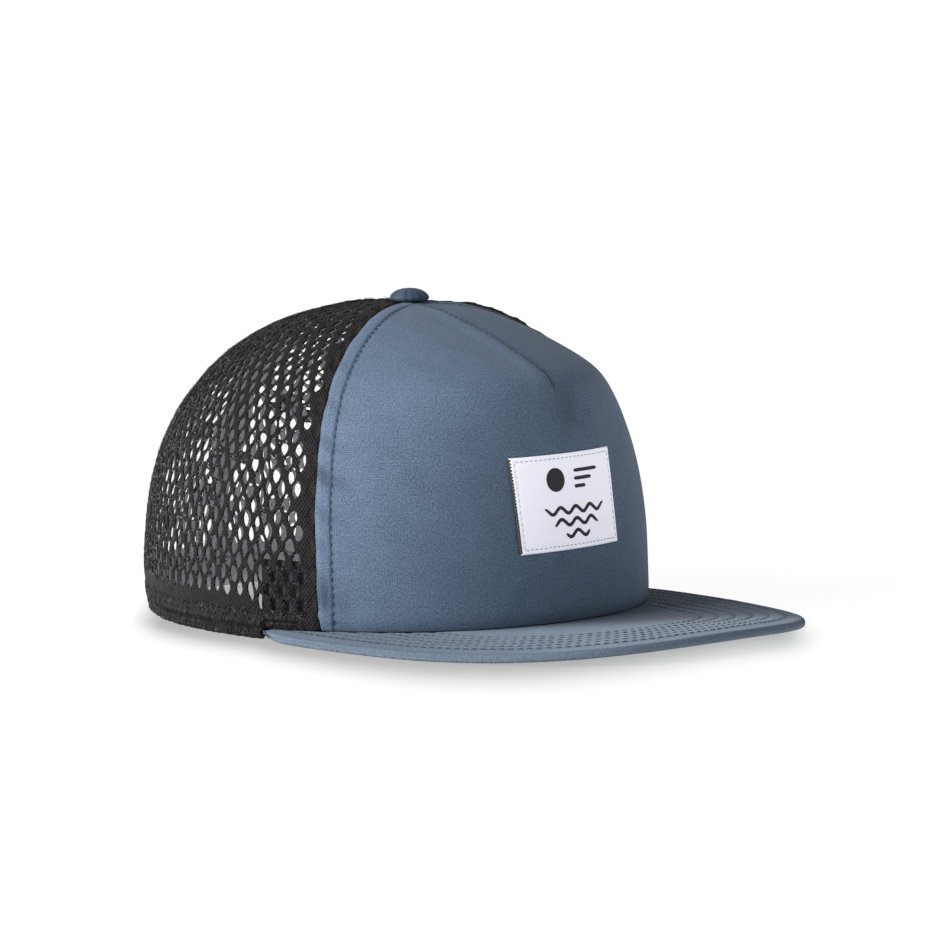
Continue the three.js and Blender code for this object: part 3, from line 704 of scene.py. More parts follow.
def front_panel():
    share = np.concatenate([np.linspace(0, 0.04, 14)[:-1], np.linspace(0.04, 1, FRONT_ROWS)])
    angle, rows, across, height, from_seam, relief, fold = front_face(share)
    outer = crown(angle, rows, relief)
    wall = lerp(LAP_THICKNESS, FRONT_WALL, smoothstep(from_seam, 0.1, 0.8))
    inner = crown(angle, rows, np.minimum(relief, 0) - wall)
    inner[0, :, 2] = outer[0, :, 2]
    faces = grid_faces(*across.shape)
    vertices, faces = thicken(outer.reshape(-1, 3), inner.reshape(-1, 3), faces)
    uv = np.stack([across.ravel(), height.ravel()], axis=1)
    # The "fold" mark carries painted shade.
    marks = {"seam_mm": np.tile(from_seam.ravel(), 2), "fold": np.tile(fold.ravel(), 2)}
    made = make_mesh("front_cloth", vertices, faces, np.vstack([uv, uv]), marks)
    return finish_piece(made, blue_cloth("front_cloth", front_lines), "front_panel")


# Net panels

NET_SEAM_MARGIN = 7.2
NET_SOLID_WIDTH = 4.4
NET_BACK_MARGIN = 2.8
NET_RIM_MARGIN = 5
NET_TOP_MARGIN = 9
NET_ROUNDING = 0.8
HOLE_RINGS = [0.28, 0.75]
CLOSED_RINGS = [(-0.9, 8), (-0.3, HOLE_SIDES), (0.3, HOLE_SIDES)]
CLOSED_DEPTH = 0.7
# Painted light: the net's inner face is painted pale towards the back, from and to these shares of its width
INSIDE_LIGHT_START = 0.35
INSIDE_LIGHT_END = 0.65
# The far net stands a little proud of the front panel near the top
PROUD_NET = {-1: 0.0, 1: 2.0}


def net_width(height):
    share = np.clip(np.asarray(height) / SIDE_LENGTH, 0, 1)
    return np.interp(share, TABLE_SHARES, ROUND_LENGTHS - SEAM_TABLE)


def hole_lean(height):
    return lerp(HOLE_LEAN_LOW, HOLE_LEAN_HIGH, smoothstep(height / SIDE_LENGTH, 0.05, 0.85))


LEAN_HEIGHTS = np.linspace(0, SIDE_LENGTH, 200)
LEAN_SHIFTS = np.concatenate([[0], np.cumsum(np.tan(hole_lean(LEAN_HEIGHTS[1:])) * np.diff(LEAN_HEIGHTS))])


def hole_outline(hole, grow=0.0, sides=HOLE_SIDES):
    """A pointed oval about a hole's middle."""
    turn = TURN * (np.arange(sides) + 0.5) / sides
    wide, tall = np.cos(turn), np.sin(turn)
    across = (hole["width"] + grow) * np.sign(wide) * np.abs(wide) ** (2 / HOLE_POWER)
    upward = (hole["tall"] + grow) * np.sign(tall) * np.abs(tall) ** (2 / HOLE_POWER)
    x = across * math.cos(hole["lean"]) - upward * math.sin(hole["lean"])
    y = across * math.sin(hole["lean"]) + upward * math.cos(hole["lean"])
    return np.stack([x, y], axis=1) + hole["middle"]


def lattice_holes(random):
    """Cut holes in staggered, leaning columns."""
    rows = int((SIDE_LENGTH - NET_RIM_MARGIN - NET_TOP_MARGIN) / HOLE_ROW)
    columns = int((float(net_width(0)) + LEAN_SHIFTS[-1]) / HOLE_PITCH) + 2
    holes = []
    for row in range(rows):
        height = NET_RIM_MARGIN + HOLE_HALF_HEIGHT + row * HOLE_ROW
        shift = float(np.interp(height, LEAN_HEIGHTS, LEAN_SHIFTS))
        for column in range(columns):
            across = NET_SEAM_MARGIN + (column + 0.5 * (row % 2)) * HOLE_PITCH - shift
            places = np.array([across, across + 99])
            wander = 0.9 * soft_noise(places, np.array([height, height]), 22, 2) + random.normal(0, 0.16, 2)
            middle = np.array([across, height]) + wander * [1, 0.6]
            drawn_in = smoothstep(height / SIDE_LENGTH, 0.35, 0.9)
            width = HOLE_HALF_WIDTH * random.uniform(0.78, 1.12) * lerp(1, TOP_HOLE_WIDTH, drawn_in)
            tall = HOLE_HALF_HEIGHT * random.uniform(0.84, 1.06) * lerp(1, TOP_HOLE_HEIGHT, drawn_in)
            lean = float(hole_lean(height)) + random.normal(0, 0.06)
            if middle[0] + width > float(net_width(middle[1] + tall)) - NET_BACK_MARGIN:
                continue
            if middle[0] - width < NET_SOLID_WIDTH:
                continue
            holes.append({"middle": middle, "width": width, "tall": tall, "lean": lean, "cut": True})
    return holes


CLOSED_PITCH = 9.8
CLOSED_ACROSS = 2.5


def strip_holes(random):
    """The column of closed holes in the dense strip beside the seam."""
    holes = []
    for height in np.arange(9, SIDE_LENGTH - 12, CLOSED_PITCH):
        middle = np.array([CLOSED_ACROSS + random.normal(0, 0.15), height + random.normal(0, 0.2)])
        holes.append({"middle": middle, "width": 1.3, "tall": 2.8, "lean": 0.0, "cut": False})
    return holes


def border_points():
    """The flat net's outline: up the seam, over the top, down the back and along the lower edge."""
    heights = np.linspace(0, SIDE_LENGTH, 131)
    front = np.stack([np.full_like(heights, 0.05), heights], axis=1)
    back = np.stack([net_width(heights) - 0.05, heights], axis=1)
    over = np.arange(0.6, back[-1, 0] - 0.4, 0.6)
    under = np.arange(1.2, back[0, 0] - 0.6, 1.2)[::-1]
    top = np.stack([over, np.full_like(over, SIDE_LENGTH)], axis=1)
    low = np.stack([under, np.zeros_like(under)], axis=1)
    return np.vstack([front, top, back[::-1], low])


def net_points(holes):
    """Points of the flat net, edges that must stay, each point's cut hole or -2, and its depth in the cloth."""
    ring = border_points()
    points, owner, depth = [ring], [np.full(len(ring), -1)], [np.full(len(ring), NET_ROUNDING)]
    edges = [(i, (i + 1) % len(ring)) for i in range(len(ring))]
    first = len(ring)

    def add(outline, index, level):
        points.append(outline)
        owner.append(np.full(len(outline), index))
        depth.append(np.full(len(outline), float(level)))
        return len(outline)

    for index, hole in enumerate(holes):
        if hole["cut"]:
            edges.extend([(first + i, first + (i + 1) % HOLE_SIDES) for i in range(HOLE_SIDES)])
            first += add(hole_outline(hole), index, 0)
            for grow in HOLE_RINGS:
                first += add(hole_outline(hole, grow), -2, grow)
        else:
            first += add(hole["middle"][None], -2, -1)
            for grow, sides in CLOSED_RINGS:
                first += add(hole_outline(hole, grow, sides), -2, -1 if grow < 0 else NET_ROUNDING)
    return np.vstack(points), edges, np.concatenate(owner), np.concatenate(depth)


FILLER_PITCH = 1.1
FILLER_CLEARANCE = 0.62


def filler_points(taken, holes):
    """A loose grid of points over the net, away from the points that are there and from the cut holes."""
    across = np.arange(0.6, float(net_width(0)), FILLER_PITCH)
    u, v = np.meshgrid(across, np.arange(0.6, SIDE_LENGTH - 0.5, FILLER_PITCH))
    grid = np.stack([u.ravel(), v.ravel()], axis=1)
    keep = grid[:, 0] < net_width(grid[:, 1]) - 0.6
    for hole in holes:
        away = np.abs(grid - hole["middle"])
        keep &= (away[:, 0] > hole["width"] + 1) | (away[:, 1] > hole["tall"] + 1) | ~inside_outline(grid, hole)
    cells = {}
    for point in taken:
        cells.setdefault((int(point[0]), int(point[1])), []).append(point)
    kept = []
    for point in grid[keep]:
        x, y = int(point[0]), int(point[1])
        near = [p for i in (-1, 0, 1) for j in (-1, 0, 1) for p in cells.get((x + i, y + j), [])]
        if all(math.dist(p, point) > FILLER_CLEARANCE for p in near):
            kept.append(point)
    return np.array(kept)


def inside_outline(points, hole):
    x, y = (points - hole["middle"]).T
    lean = hole["lean"]
    across = np.abs(x * math.cos(lean) + y * math.sin(lean)) / (hole["width"] + 0.2)
    upward = np.abs(y * math.cos(lean) - x * math.sin(lean)) / (hole["tall"] + 0.2)
    return across ** HOLE_POWER + upward ** HOLE_POWER < 1


def flat_net(holes):
    """Points and triangles of the flat net, with each point's depth in the cloth."""
    points, edges, owner, depth = net_points(holes)
    extra = filler_points(points, [hole for hole in holes if hole["cut"]])
    points = np.vstack([points, extra])
    owner = np.concatenate([owner, np.full(len(extra), -2)])
    depth = np.concatenate([depth, np.full(len(extra), NET_ROUNDING)])
    result = delaunay_2d_cdt([Vector(p) for p in points], edges, [], 1, 1e-5)
    flat = np.array([tuple(p) for p in result[0]])
    source = np.array([ids[0] if ids else -1 for ids in result[3]])
    triangles = np.array([list(face) for face in result[2] if len(face) == 3])
    owners = np.where(source >= 0, owner[source], -2)[triangles]
    inside = (owners[:, 0] >= 0) & (owners == owners[:, :1]).all(axis=1)
    triangles = triangles[~inside]
    used, triangles = np.unique(triangles, return_inverse=True)
    depths = np.where(source >= 0, depth[source], NET_ROUNDING)
    return flat[used], triangles.reshape(-1, 3), depths[used]


def net_middle(u, v, side, seed):
    """How far the middle of the net's thickness lies out from the crown."""
    lumps = 0.14 * soft_noise(u, v, 1.7, 4 + seed) + 0.3 * soft_noise(u, v, 9, 7 + seed)
    beside_seam = 0.45 * smoothstep(NET_SOLID_WIDTH - u, 0, 3)
    under_cloth = 1.1 * smoothstep(1.8 - u, 0, 1.8)
    back_ridge = 0.5 * smoothstep(NET_BACK_MARGIN - (net_width(v) - u), 0, 1.5)
    part = v / SIDE_LENGTH
    near_top = smoothstep(part, 0.5, 0.75) * smoothstep(0.97 - part, 0, 0.14) * smoothstep(20 - u, 0, 14)
    proud = PROUD_NET[side] * near_top * smoothstep(u, 0.9, 2.6)
    return -NET_THICKNESS / 2 + lumps + beside_seam - under_cloth + back_ridge + proud


def net_panel(name, node, side, seed):
    random = np.random.default_rng(seed)
    flat, triangles, depths = flat_net(lattice_holes(random) + strip_holes(random))
    u, v = flat.T
    share = np.clip(v / SIDE_LENGTH, 0, 1)
    angle = side * angle_across(seam_across(share) + u, share)
    rounding = np.clip(np.maximum(depths, 0) / NET_ROUNDING, 0, 1)
    half = NET_THICKNESS / 2 * (0.3 + 0.7 * np.sqrt(1 - (1 - rounding) ** 2))
    half = np.where(depths < 0, NET_THICKNESS / 2, half)
    middle = net_middle(u, v, side, seed) - CLOSED_DEPTH * (depths < 0)
    outer = crown(angle, share, middle + half)
    inner = crown(angle, share, middle - half)
    if side < 0:
        triangles = triangles[:, ::-1]
    vertices, faces = thicken(outer, inner, triangles)
    # Painted light on the inner face towards the back, where it is paler.
    towards_back = smoothstep(u / net_width(v), INSIDE_LIGHT_START, INSIDE_LIGHT_END)
    painted_inside_light = np.concatenate([np.zeros(len(u)), towards_back * (depths != 0)])
    # The "rim" mark sets painted highlights along the cut holes' edges.
    rim = np.concatenate([(depths == 0) * 1.0, np.zeros(len(u))])
    marks = {"closed": np.tile((depths < 0) * 1.0, 2), "painted_inside_light": painted_inside_light, "rim": rim}
    made = make_mesh(name, vertices, faces, np.vstack([flat, flat]), marks)
    return finish_piece(made, net_material, node)


# Fibres

FIBRE_SIDES = 3
FIBRE_PARTS = 4
FIBRE_RADIUS = 0.055
FIBRES_PER_SIDE = 3000


def fibres(name, side, seed):
    """Short fibres that curl out of the knit, with more of them near its low corner by the seam."""
    random = np.random.default_rng(seed)
    count = FIBRES_PER_SIDE
    v = random.uniform(1, SIDE_LENGTH - 4, count)
    u = net_width(v) * random.uniform(0, 1, count) ** 1.15
    low_corner = random.uniform(0, 1, count) < 0.06
    v = np.where(low_corner, random.uniform(1, 26, count), v)
    u = np.where(low_corner, random.uniform(1, 30, count), u)
    if PROUD_NET[side]:
        v = np.where((u < 18) & (v > 0.4 * SIDE_LENGTH), 0.5 * v, v)
    heading = random.choice([0.9, -0.9, 2.2, -2.2], count) + random.normal(0, 0.5, count)
    length = random.uniform(1.2, 3.2, count)
    curl = random.normal(0, 0.9, count)
    rise = random.uniform(0.1, 0.55, count)
    part = np.linspace(0, 1, FIBRE_PARTS + 1)[:, None]
    turned = heading + curl * part
    fibre_u = np.clip(u + length * part * np.cos(turned), 0.2, net_width(v) - 0.2)
    fibre_v = np.clip(v + length * part * np.sin(turned), 0.3, SIDE_LENGTH - 1)
    share = fibre_v / SIDE_LENGTH
    angle = side * angle_across(seam_across(share) + fibre_u, share)
    out = net_middle(fibre_u, fibre_v, side, seed) + NET_THICKNESS / 2 + rise * np.sin(math.pi * part) - 0.12
    line = crown(angle, share, out)
    row, column = table_place(angle, share)
    normal = unit(pick(CROWN_NORMALS, row, column))
    along = unit(np.gradient(line, axis=0))
    across = np.cross(normal, along)
    turn = TURN * np.arange(FIBRE_SIDES)[:, None, None, None] / FIBRE_SIDES
    girth = FIBRE_RADIUS * (1 - 0.6 * part ** 2)[None, :, :, None]
    ring = line[None] + girth * (np.cos(turn) * across[None] + np.sin(turn) * normal[None])
    vertices = ring.transpose(2, 1, 0, 3).reshape(-1, 3)
    each = FIBRE_SIDES * (FIBRE_PARTS + 1)
    pattern = []
    for step in range(FIBRE_PARTS):
        for k in range(FIBRE_SIDES):
            a = step * FIBRE_SIDES + k
            b = step * FIBRE_SIDES + (k + 1) % FIBRE_SIDES
            pattern.append([a, b, b + FIBRE_SIDES, a + FIBRE_SIDES])
    faces = (np.arange(count)[:, None, None] * each + np.array(pattern)[None]).reshape(-1, 4)
    uv = np.stack([np.repeat(fibre_u.T.ravel(), FIBRE_SIDES), np.repeat(fibre_v.T.ravel(), FIBRE_SIDES)], axis=1)
    return finish_piece(make_mesh(name, vertices, faces, uv), fuzz_material)


# Rim pieces

def rim_point(angle, out, height):
    """Points beside the crown's lowest outline, a distance out from it in plan."""
    angle = np.asarray(angle, float)
    step = 1e-3
    point = crown_at(angle, 0.0 * angle)
    around = crown_at(angle + step, 0.0 * angle) - crown_at(angle - step, 0.0 * angle)
    away = unit(np.stack([around[..., 1], -around[..., 0], np.zeros_like(angle)], axis=-1))
    point = point + away * np.asarray(out, float)[..., None]
    point[..., 2] = height
    return point


HEM_SIDES = 30
HEM_COLUMNS = 1100
HEM_START = math.radians(64)
HEM_LAP = 1.6
# The hem's inner side carries painted light between these angles
HEM_INSIDE_LIGHT_START = math.radians(92)
HEM_INSIDE_LIGHT_END = math.radians(108)
BUNCH_PITCH = 4.4
BUNCH_ROW = 2.3


def bunched(along, around):
    """Relief of gathered net: squeezed holes as pits between crumpled yarns, from about -1 to 1."""
    warp = along + 1.6 * soft_noise(along, around, 7, 15) + 0.5 * around
    row = np.round(around / BUNCH_ROW)
    offset = (warp / BUNCH_PITCH + 0.5 * (row % 2)) % 1 - 0.5
    pit = np.exp(-((offset * BUNCH_PITCH / 1.1) ** 2) - ((around - row * BUNCH_ROW) / 0.75) ** 2)
    crumple = soft_noise(along, around * 1.5, 5, 11) + 0.7 * soft_noise(along + around, around, 1.8, 12)
    return 0.6 * crumple - 0.9 * pit


def hem():
    """The net's gathered lower edge: a bunched roll that starts over the brim's ends."""
    angle = np.linspace(HEM_START, TURN - HEM_START, HEM_COLUMNS)
    turn = TURN * np.arange(HEM_SIDES) / HEM_SIDES
    angle, turn = np.meshgrid(angle, turn)
    signed = np.where(angle > math.pi, angle - TURN, angle)
    along = angle * (CROWN_HALF_WIDTH + CROWN_BACK_REACH) / 2
    past_tip = smoothstep(np.abs(signed), TIP_ANGLE - math.radians(0.2), TIP_ANGLE + math.radians(0.9))
    bottom = lerp(BRIM_THICKNESS + 0.15, 0.0, past_tip)
    top = HEM_HEIGHT + HEM_LAP + 0.7 * soft_noise(along, 0 * along, 9, 13)
    wide, tall = np.cos(turn), np.sin(turn)
    section_out = lerp(1.0, 1.5, past_tip) * np.sign(wide) * np.abs(wide) ** 0.75
    height = lerp(bottom, top, 0.5 + 0.5 * np.sign(tall) * np.abs(tall) ** 0.75)
    shown = smoothstep(wide, -0.5, 0.5)
    bunches = bunched(along, height)
    relief = 1.0 * bunches * shown
    edge = smoothstep(np.abs(signed), HEM_START, HEM_START + math.radians(3))
    out = -0.6 + (section_out + relief) * lerp(0.35, 1.0, edge)
    lean = crown_at(signed, np.maximum(height - BRIM_THICKNESS, 0) / CROWN_HEIGHT) - crown_at(signed, 0 * signed)
    lean[..., 2] = 0
    height = np.maximum(height + 0.5 * soft_noise(along, 0 * along, 4, 14) * (tall > 0.2), bottom + 0.02)
    vertices = (rim_point(signed, out, height) + lean).reshape(-1, 3)
    rows, columns = angle.shape
    ring = grid_faces(rows + 1, columns) % (rows * columns)
    ends = [[row * columns for row in range(rows)], [row * columns + columns - 1 for row in reversed(range(rows))]]
    uv = np.stack([along.ravel(), (turn * 2.4).ravel()], axis=1)
    faces = [list(map(int, face)) for face in ring[:, ::-1]] + ends
    # Painted highlights on the hem's crumpled yarns, through the "rim" mark.
    loops = smoothstep(soft_noise(along, height * 1.6, 1.1, 19).ravel(), 0.25, 0.6)
    # Painted light: the hem's inner side is painted pale towards the back.
    hem_inside_light = smoothstep(-wide, 0.1, 0.5) * smoothstep(np.abs(signed), HEM_INSIDE_LIGHT_START, HEM_INSIDE_LIGHT_END)
    made = make_mesh("net_hem", vertices, faces, uv, {"rim": 0.3 * loops, "painted_inside_light": hem_inside_light.ravel()})
    return finish_piece(made, net_material, "hem")


SWEATBAND_TOP = 28
SWEATBAND_BOTTOM = 0.8
SWEATBAND_THICKNESS = 1.5
SWEATBAND_END = math.radians(80)


def sweatband():
    angle, part = np.meshgrid(np.linspace(-SWEATBAND_END, SWEATBAND_END, 160), np.linspace(0, 1, 40))
    height = lerp(SWEATBAND_BOTTOM, SWEATBAND_TOP, part)
    up = np.maximum(height - BRIM_THICKNESS, 0) / CROWN_HEIGHT
    lean = crown_at(angle, up) - crown_at(angle, 0.0 * angle)
    lean[..., 2] = 0
    pad = 0.3 * np.sin(math.pi * part) + 0.12 * soft_noise(angle * 86, height, 12, 21)
    edge = 0.35 * smoothstep(np.abs(part - 0.5), 0.44, 0.5)
    gap = FRONT_WALL + CLOTH_GAP
    outer = rim_point(angle, np.full_like(angle, -gap), height) + lean
    inner = rim_point(angle, -gap - SWEATBAND_THICKNESS - pad + edge, height) + lean
    vertices, faces = thicken(outer.reshape(-1, 3), inner.reshape(-1, 3), grid_faces(*angle.shape))
    uv = np.stack([(angle * 86).ravel(), height.ravel()], axis=1)
    made = make_mesh("sweatband_cloth", vertices, faces, np.vstack([uv, uv]))
    return finish_piece(made, band_weave("sweatband_cloth"), "sweatband")


# Brim

def evenly(points, count):
    lengths = np.concatenate([[0], np.cumsum(np.linalg.norm(np.diff(points, axis=0), axis=1))])
    wanted = np.linspace(0, lengths[-1], count)
    return np.stack([np.interp(wanted, lengths, points[:, k]) for k in range(points.shape[1])], axis=1)


def brim_outline(count):
    """The brim's outer edge in plan, from the wearer's right to the left."""
    turn = np.linspace(0, math.pi / 2, 400)
    x = BRIM_HALF_WIDTH * np.sin(turn) ** (2 / BRIM_PLAN_POWER_X)
    y = BRIM_SIDE_Y - (BRIM_SIDE_Y - BRIM_FRONT_Y) * np.abs(np.cos(turn)) ** (2 / BRIM_PLAN_POWER_Y)
    tip = rim_point(np.array([TIP_ANGLE]), np.array([BRIM_TIP_WIDTH - FRONT_WALL]), 0)[0]
    part = np.linspace(0, 1, 60)[1:]
    x = np.concatenate([x, lerp(BRIM_HALF_WIDTH, tip[0], part ** 2)])
    y = np.concatenate([y + AXIS_Y, lerp(BRIM_SIDE_Y + AXIS_Y, tip[1], part)])
    half = np.stack([x, y], axis=1)
    other = half[1:] * [-1, 1]
    return evenly(np.vstack([other[::-1], half]), count)


def brim_rise(x, y):
    forward = np.clip((AXIS_Y - CROWN_FRONT_REACH - y) / (-CROWN_FRONT_REACH - BRIM_FRONT_Y), 0, 1)
    return BRIM_ARCH * (1 - (x / BRIM_HALF_WIDTH) ** 2) * forward


def edge_distance(places, outline):
    distance = np.empty(len(places))
    for start in range(0, len(places), 2000):
        block = places[start : start + 2000]
        distance[start : start + 2000] = np.sqrt(((block[:, None] - outline[None]) ** 2).sum(axis=-1).min(axis=1))
    return distance


BRIM_COLUMNS = 420
BRIM_INNER_ROWS = 60
BRIM_EDGE_ROWS = 6


def painted_brim_shade(top, away):
    """How much painted shade darkens the brim's cloth: towards its far side in the crown's shadow, at its near end and
    on its edge.
    """
    x, y = top[..., 0], top[..., 1] - AXIS_Y
    far = 0.68 * smoothstep(0.53 * x + 0.84 * y, -112, -72) * smoothstep(x, -40, 10)
    near_end = 0.25 * smoothstep(-x, 45, 85) * smoothstep(-y, -10, 45)
    edge = lerp(0.5, 0.25, smoothstep(-x, 40, 80)) * smoothstep(BRIM_TOP_ROUND - away, -0.2, 0.5)
    return np.clip(far + near_end + edge, 0, 0.8).ravel()


def brim():
    outline = brim_outline(BRIM_COLUMNS)
    fine = brim_outline(2400)
    turns = np.linspace(-TIP_ANGLE, TIP_ANGLE, 800)
    root = evenly(rim_point(turns, np.full_like(turns, -FRONT_WALL), 0)[:, :2], BRIM_COLUMNS)
    width = np.linalg.norm(outline - root, axis=1)
    outward = unit(outline - root)
    arc = np.linspace(0, math.pi / 2, BRIM_EDGE_ROWS)
    from_tip = np.minimum(np.arange(BRIM_COLUMNS), np.arange(BRIM_COLUMNS)[::-1])
    pointed = BRIM_POINT_RISE * np.clip(1 - from_tip / BRIM_POINT_LENGTH, 0, 1) ** 2

    def face(level, towards, rounding):
        insets = np.concatenate([np.full(BRIM_INNER_ROWS, rounding), rounding * (1 - np.sin(arc[1:]))])
        drops = np.concatenate([np.zeros(BRIM_INNER_ROWS), rounding * (1 - np.cos(arc[1:]))])
        shares = np.concatenate([np.linspace(0, 1, BRIM_INNER_ROWS), np.ones(BRIM_EDGE_ROWS - 1)])
        part = shares[:, None] * (1 - insets[:, None] / width)
        plan = lerp(root[None], outline[None], part[..., None])
        height = brim_rise(plan[..., 0], plan[..., 1]) + level
        away = edge_distance(plan.reshape(-1, 2), fine).reshape(height.shape)
        if towards < 0:
            height = height - BRIM_THIN_EDGE * smoothstep(BRIM_THIN_REACH - away, 0, BRIM_THIN_REACH)
        else:
            height = height + pointed * shares[:, None]
        nearest = np.clip(np.round((away - BRIM_STITCH_FIRST) / BRIM_STITCH_PITCH), 0, BRIM_STITCH_ROWS - 1)
        from_row = away - BRIM_STITCH_FIRST - nearest * BRIM_STITCH_PITCH
        quilt = 0.25 * np.exp(-(from_row / 0.9) ** 2) - 0.08 * soft_noise(plan[..., 0], plan[..., 1], 9, 31)
        drop = drops[:, None]
        round_the_edge = drop if towards < 0 else BRIM_THICKNESS - drop
        cloth = plan + outward[None] * (round_the_edge * np.ones_like(away))[..., None]
        return np.dstack([plan, height + towards * (drop + quilt * (drop == 0))]), away, cloth

    top, away, cloth_top = face(BRIM_THICKNESS, -1, BRIM_TOP_ROUND)
    low, _, cloth_low = face(0, 1, BRIM_LOW_ROUND)
    vertices, faces = thicken(top.reshape(-1, 3), low.reshape(-1, 3), grid_faces(*away.shape))
    # Painted shade in the "fold" mark: the top as above, and the whole underside darker.
    marks = {"edge_mm": np.tile(away.ravel(), 2), "fold": np.concatenate([painted_brim_shade(top, away), 0.4 * (away * 0 + 1).ravel()])}
    uv = np.vstack([cloth_top.reshape(-1, 2), cloth_low.reshape(-1, 2)])
    made = make_mesh("brim_cloth", vertices, faces, uv, marks)
    cloth = blue_cloth("brim_cloth", brim_lines, BRIM_DARK_WITH_SHEEN, BRIM_LIGHT_WITH_SHEEN)
    return finish_piece(made, cloth, "brim")


# Stitches

STITCH_RINGS = [(0.0, 0.35, -0.8), (0.12, 0.85, -0.1), (0.5, 1.0, 0.25), (0.88, 0.85, -0.1), (1.0, 0.35, -0.8)]
STITCH_SIDES = 6


def stitch_row(path, normals, length, gap, radius, lift=0.0):
    """Vertices, faces and uv of a row of stitches along a path, each a short bowed thread."""
    lengths = np.concatenate([[0], np.cumsum(np.linalg.norm(np.diff(path, axis=0), axis=1))])
    count = int(lengths[-1] / (length + gap))
    pitch = lengths[-1] / max(count, 1)
    vertices, faces, uv = [], [], []
    turn = TURN * np.arange(STITCH_SIDES) / STITCH_SIDES
    for index in range(count):
        start = index * pitch + gap / 2
        first = len(vertices)
        for part, girth, rise in STITCH_RINGS:
            at = start + part * (pitch - gap)
            point = np.array([np.interp(at, lengths, path[:, k]) for k in range(3)])
            normal = unit(np.array([np.interp(at, lengths, normals[:, k]) for k in range(3)]))
            later = np.array([np.interp(at + 0.2, lengths, path[:, k]) for k in range(3)])
            sooner = np.array([np.interp(at - 0.2, lengths, path[:, k]) for k in range(3)])
            side = unit(np.cross(normal, unit(later - sooner)))
            middle = point + normal * (lift + radius * rise)
            ring = middle + radius * girth * (np.cos(turn)[:, None] * side + 0.8 * np.sin(turn)[:, None] * normal)
            vertices.extend(ring.tolist())
            uv.extend([[at, 0.4 * t] for t in turn])
        for ring in range(len(STITCH_RINGS) - 1):
            for k in range(STITCH_SIDES):
                a = first + ring * STITCH_SIDES + k
                b = first + ring * STITCH_SIDES + (k + 1) % STITCH_SIDES
                faces.append([a, b, b + STITCH_SIDES, a + STITCH_SIDES])
        last = first + (len(STITCH_RINGS) - 1) * STITCH_SIDES
        faces.append(list(range(first + STITCH_SIDES - 1, first - 1, -1)))
        faces.append(list(range(last, last + STITCH_SIDES)))
    return vertices, faces, uv


def join_rows(name, rows, material):
    vertices, faces, uv = [], [], []
    for row_vertices, row_faces, row_uv in rows:
        shift = len(vertices)
        vertices.extend(row_vertices)
        faces.extend([[corner + shift for corner in face] for face in row_faces])
        uv.extend(row_uv)
    return finish_piece(make_mesh(name, np.array(vertices), faces, np.array(uv)), material)


def surface_path(across, share):
    """A path and its normals on the front's relief, for distances across at shares of the height."""
    angle = angle_across(across, share)
    base = crown(angle, share)
    height = share * np.interp(angle, TABLE_ANGLES, LINE_LENGTHS)
    from_seam = seam_across(share) - np.abs(across)
    radius = np.hypot(base[:, 0], base[:, 1] - AXIS_Y)
    clear = smoothstep(radius, BUTTON_RADIUS, RELIEF_START_RADIUS)
    relief = clear * front_relief(from_seam, height, across)
    relief = relief + dart_relief(base[:, 0], base[:, 2], clear)
    row, column = table_place(angle, share)
    normals = unit(pick(CROWN_NORMALS, row, column))
    return base + normals * relief[:, None], normals


def seam_stitches():
    share = np.linspace(0.012, 0.985, 500)
    rows = []
    for side in (-1, 1):
        path, normals = surface_path(side * (seam_across(share) - SEAM_STRIP_WIDTH), share)
        rows.append(stitch_row(path, normals, 2.0, 1.0, 0.22, 0.0))
    return join_rows("seam_stitches", rows, thread_dark)


DART_STITCH_SIDE = -1.7
DART_STITCH_END = 93


def dart_stitches():
    end = float(share_at_height(0.0, DART_STITCH_END))
    share = np.linspace(0.985, end, 300)
    path, normals = surface_path(np.full_like(share, DART_STITCH_SIDE), share)
    rows = [stitch_row(path, normals, 1.7, 1.0, 0.33, 0.1)]
    turn = np.linspace(0, math.pi, 40)
    hook_across = DART_STITCH_SIDE + 0.9 - 0.9 * np.cos(turn)
    hook_share = end - 0.9 * np.sin(turn) / SIDE_LENGTH
    path, normals = surface_path(hook_across, hook_share)
    rows.append(stitch_row(path, normals, 1.2, 0.2, 0.3, 0.08))
    return join_rows("dart_stitches", rows, thread_dart)


def brim_stitches():
    outline = brim_outline(1600)
    along = unit(np.gradient(outline, axis=0))
    inward = np.stack([-along[:, 1], along[:, 0]], axis=1)
    turns = np.linspace(-math.pi / 2, math.pi / 2, 721)
    wall = rim_point(turns, np.zeros_like(turns), 0)[:, :2]
    wall_radius = np.hypot(wall[:, 0], wall[:, 1] - AXIS_Y)
    wall_bearing = np.arctan2(wall[:, 0], AXIS_Y - wall[:, 1])
    rows = []
    for row in range(BRIM_STITCH_ROWS):
        inset = BRIM_STITCH_FIRST + row * BRIM_STITCH_PITCH
        plan = outline + inward * inset
        true = edge_distance(plan, outline) > inset - 0.05
        bearing = np.arctan2(plan[:, 0], AXIS_Y - plan[:, 1])
        clear = np.hypot(plan[:, 0], plan[:, 1] - AXIS_Y) > np.interp(bearing, wall_bearing, wall_radius) + 0.5
        plan = plan[true & clear]
        rise = brim_rise(plan[:, 0], plan[:, 1])
        for level, facing in ((BRIM_THICKNESS, 1.0), (0.0, -1.0)):
            height = rise + level - facing * 0.2
            path = np.column_stack([plan, height])
            normals = np.tile([0.0, 0.0, facing], (len(path), 1))
            rows.append(stitch_row(path, normals, 2.1, 1.15, 0.26, 0.1))
    return join_rows("brim_stitches", rows, thread_blue)


# Button

BUTTON_SIDES = 72
# Painted shade darkens the whole button's cloth.
BUTTON_PAINTED_SHADE = 0.62


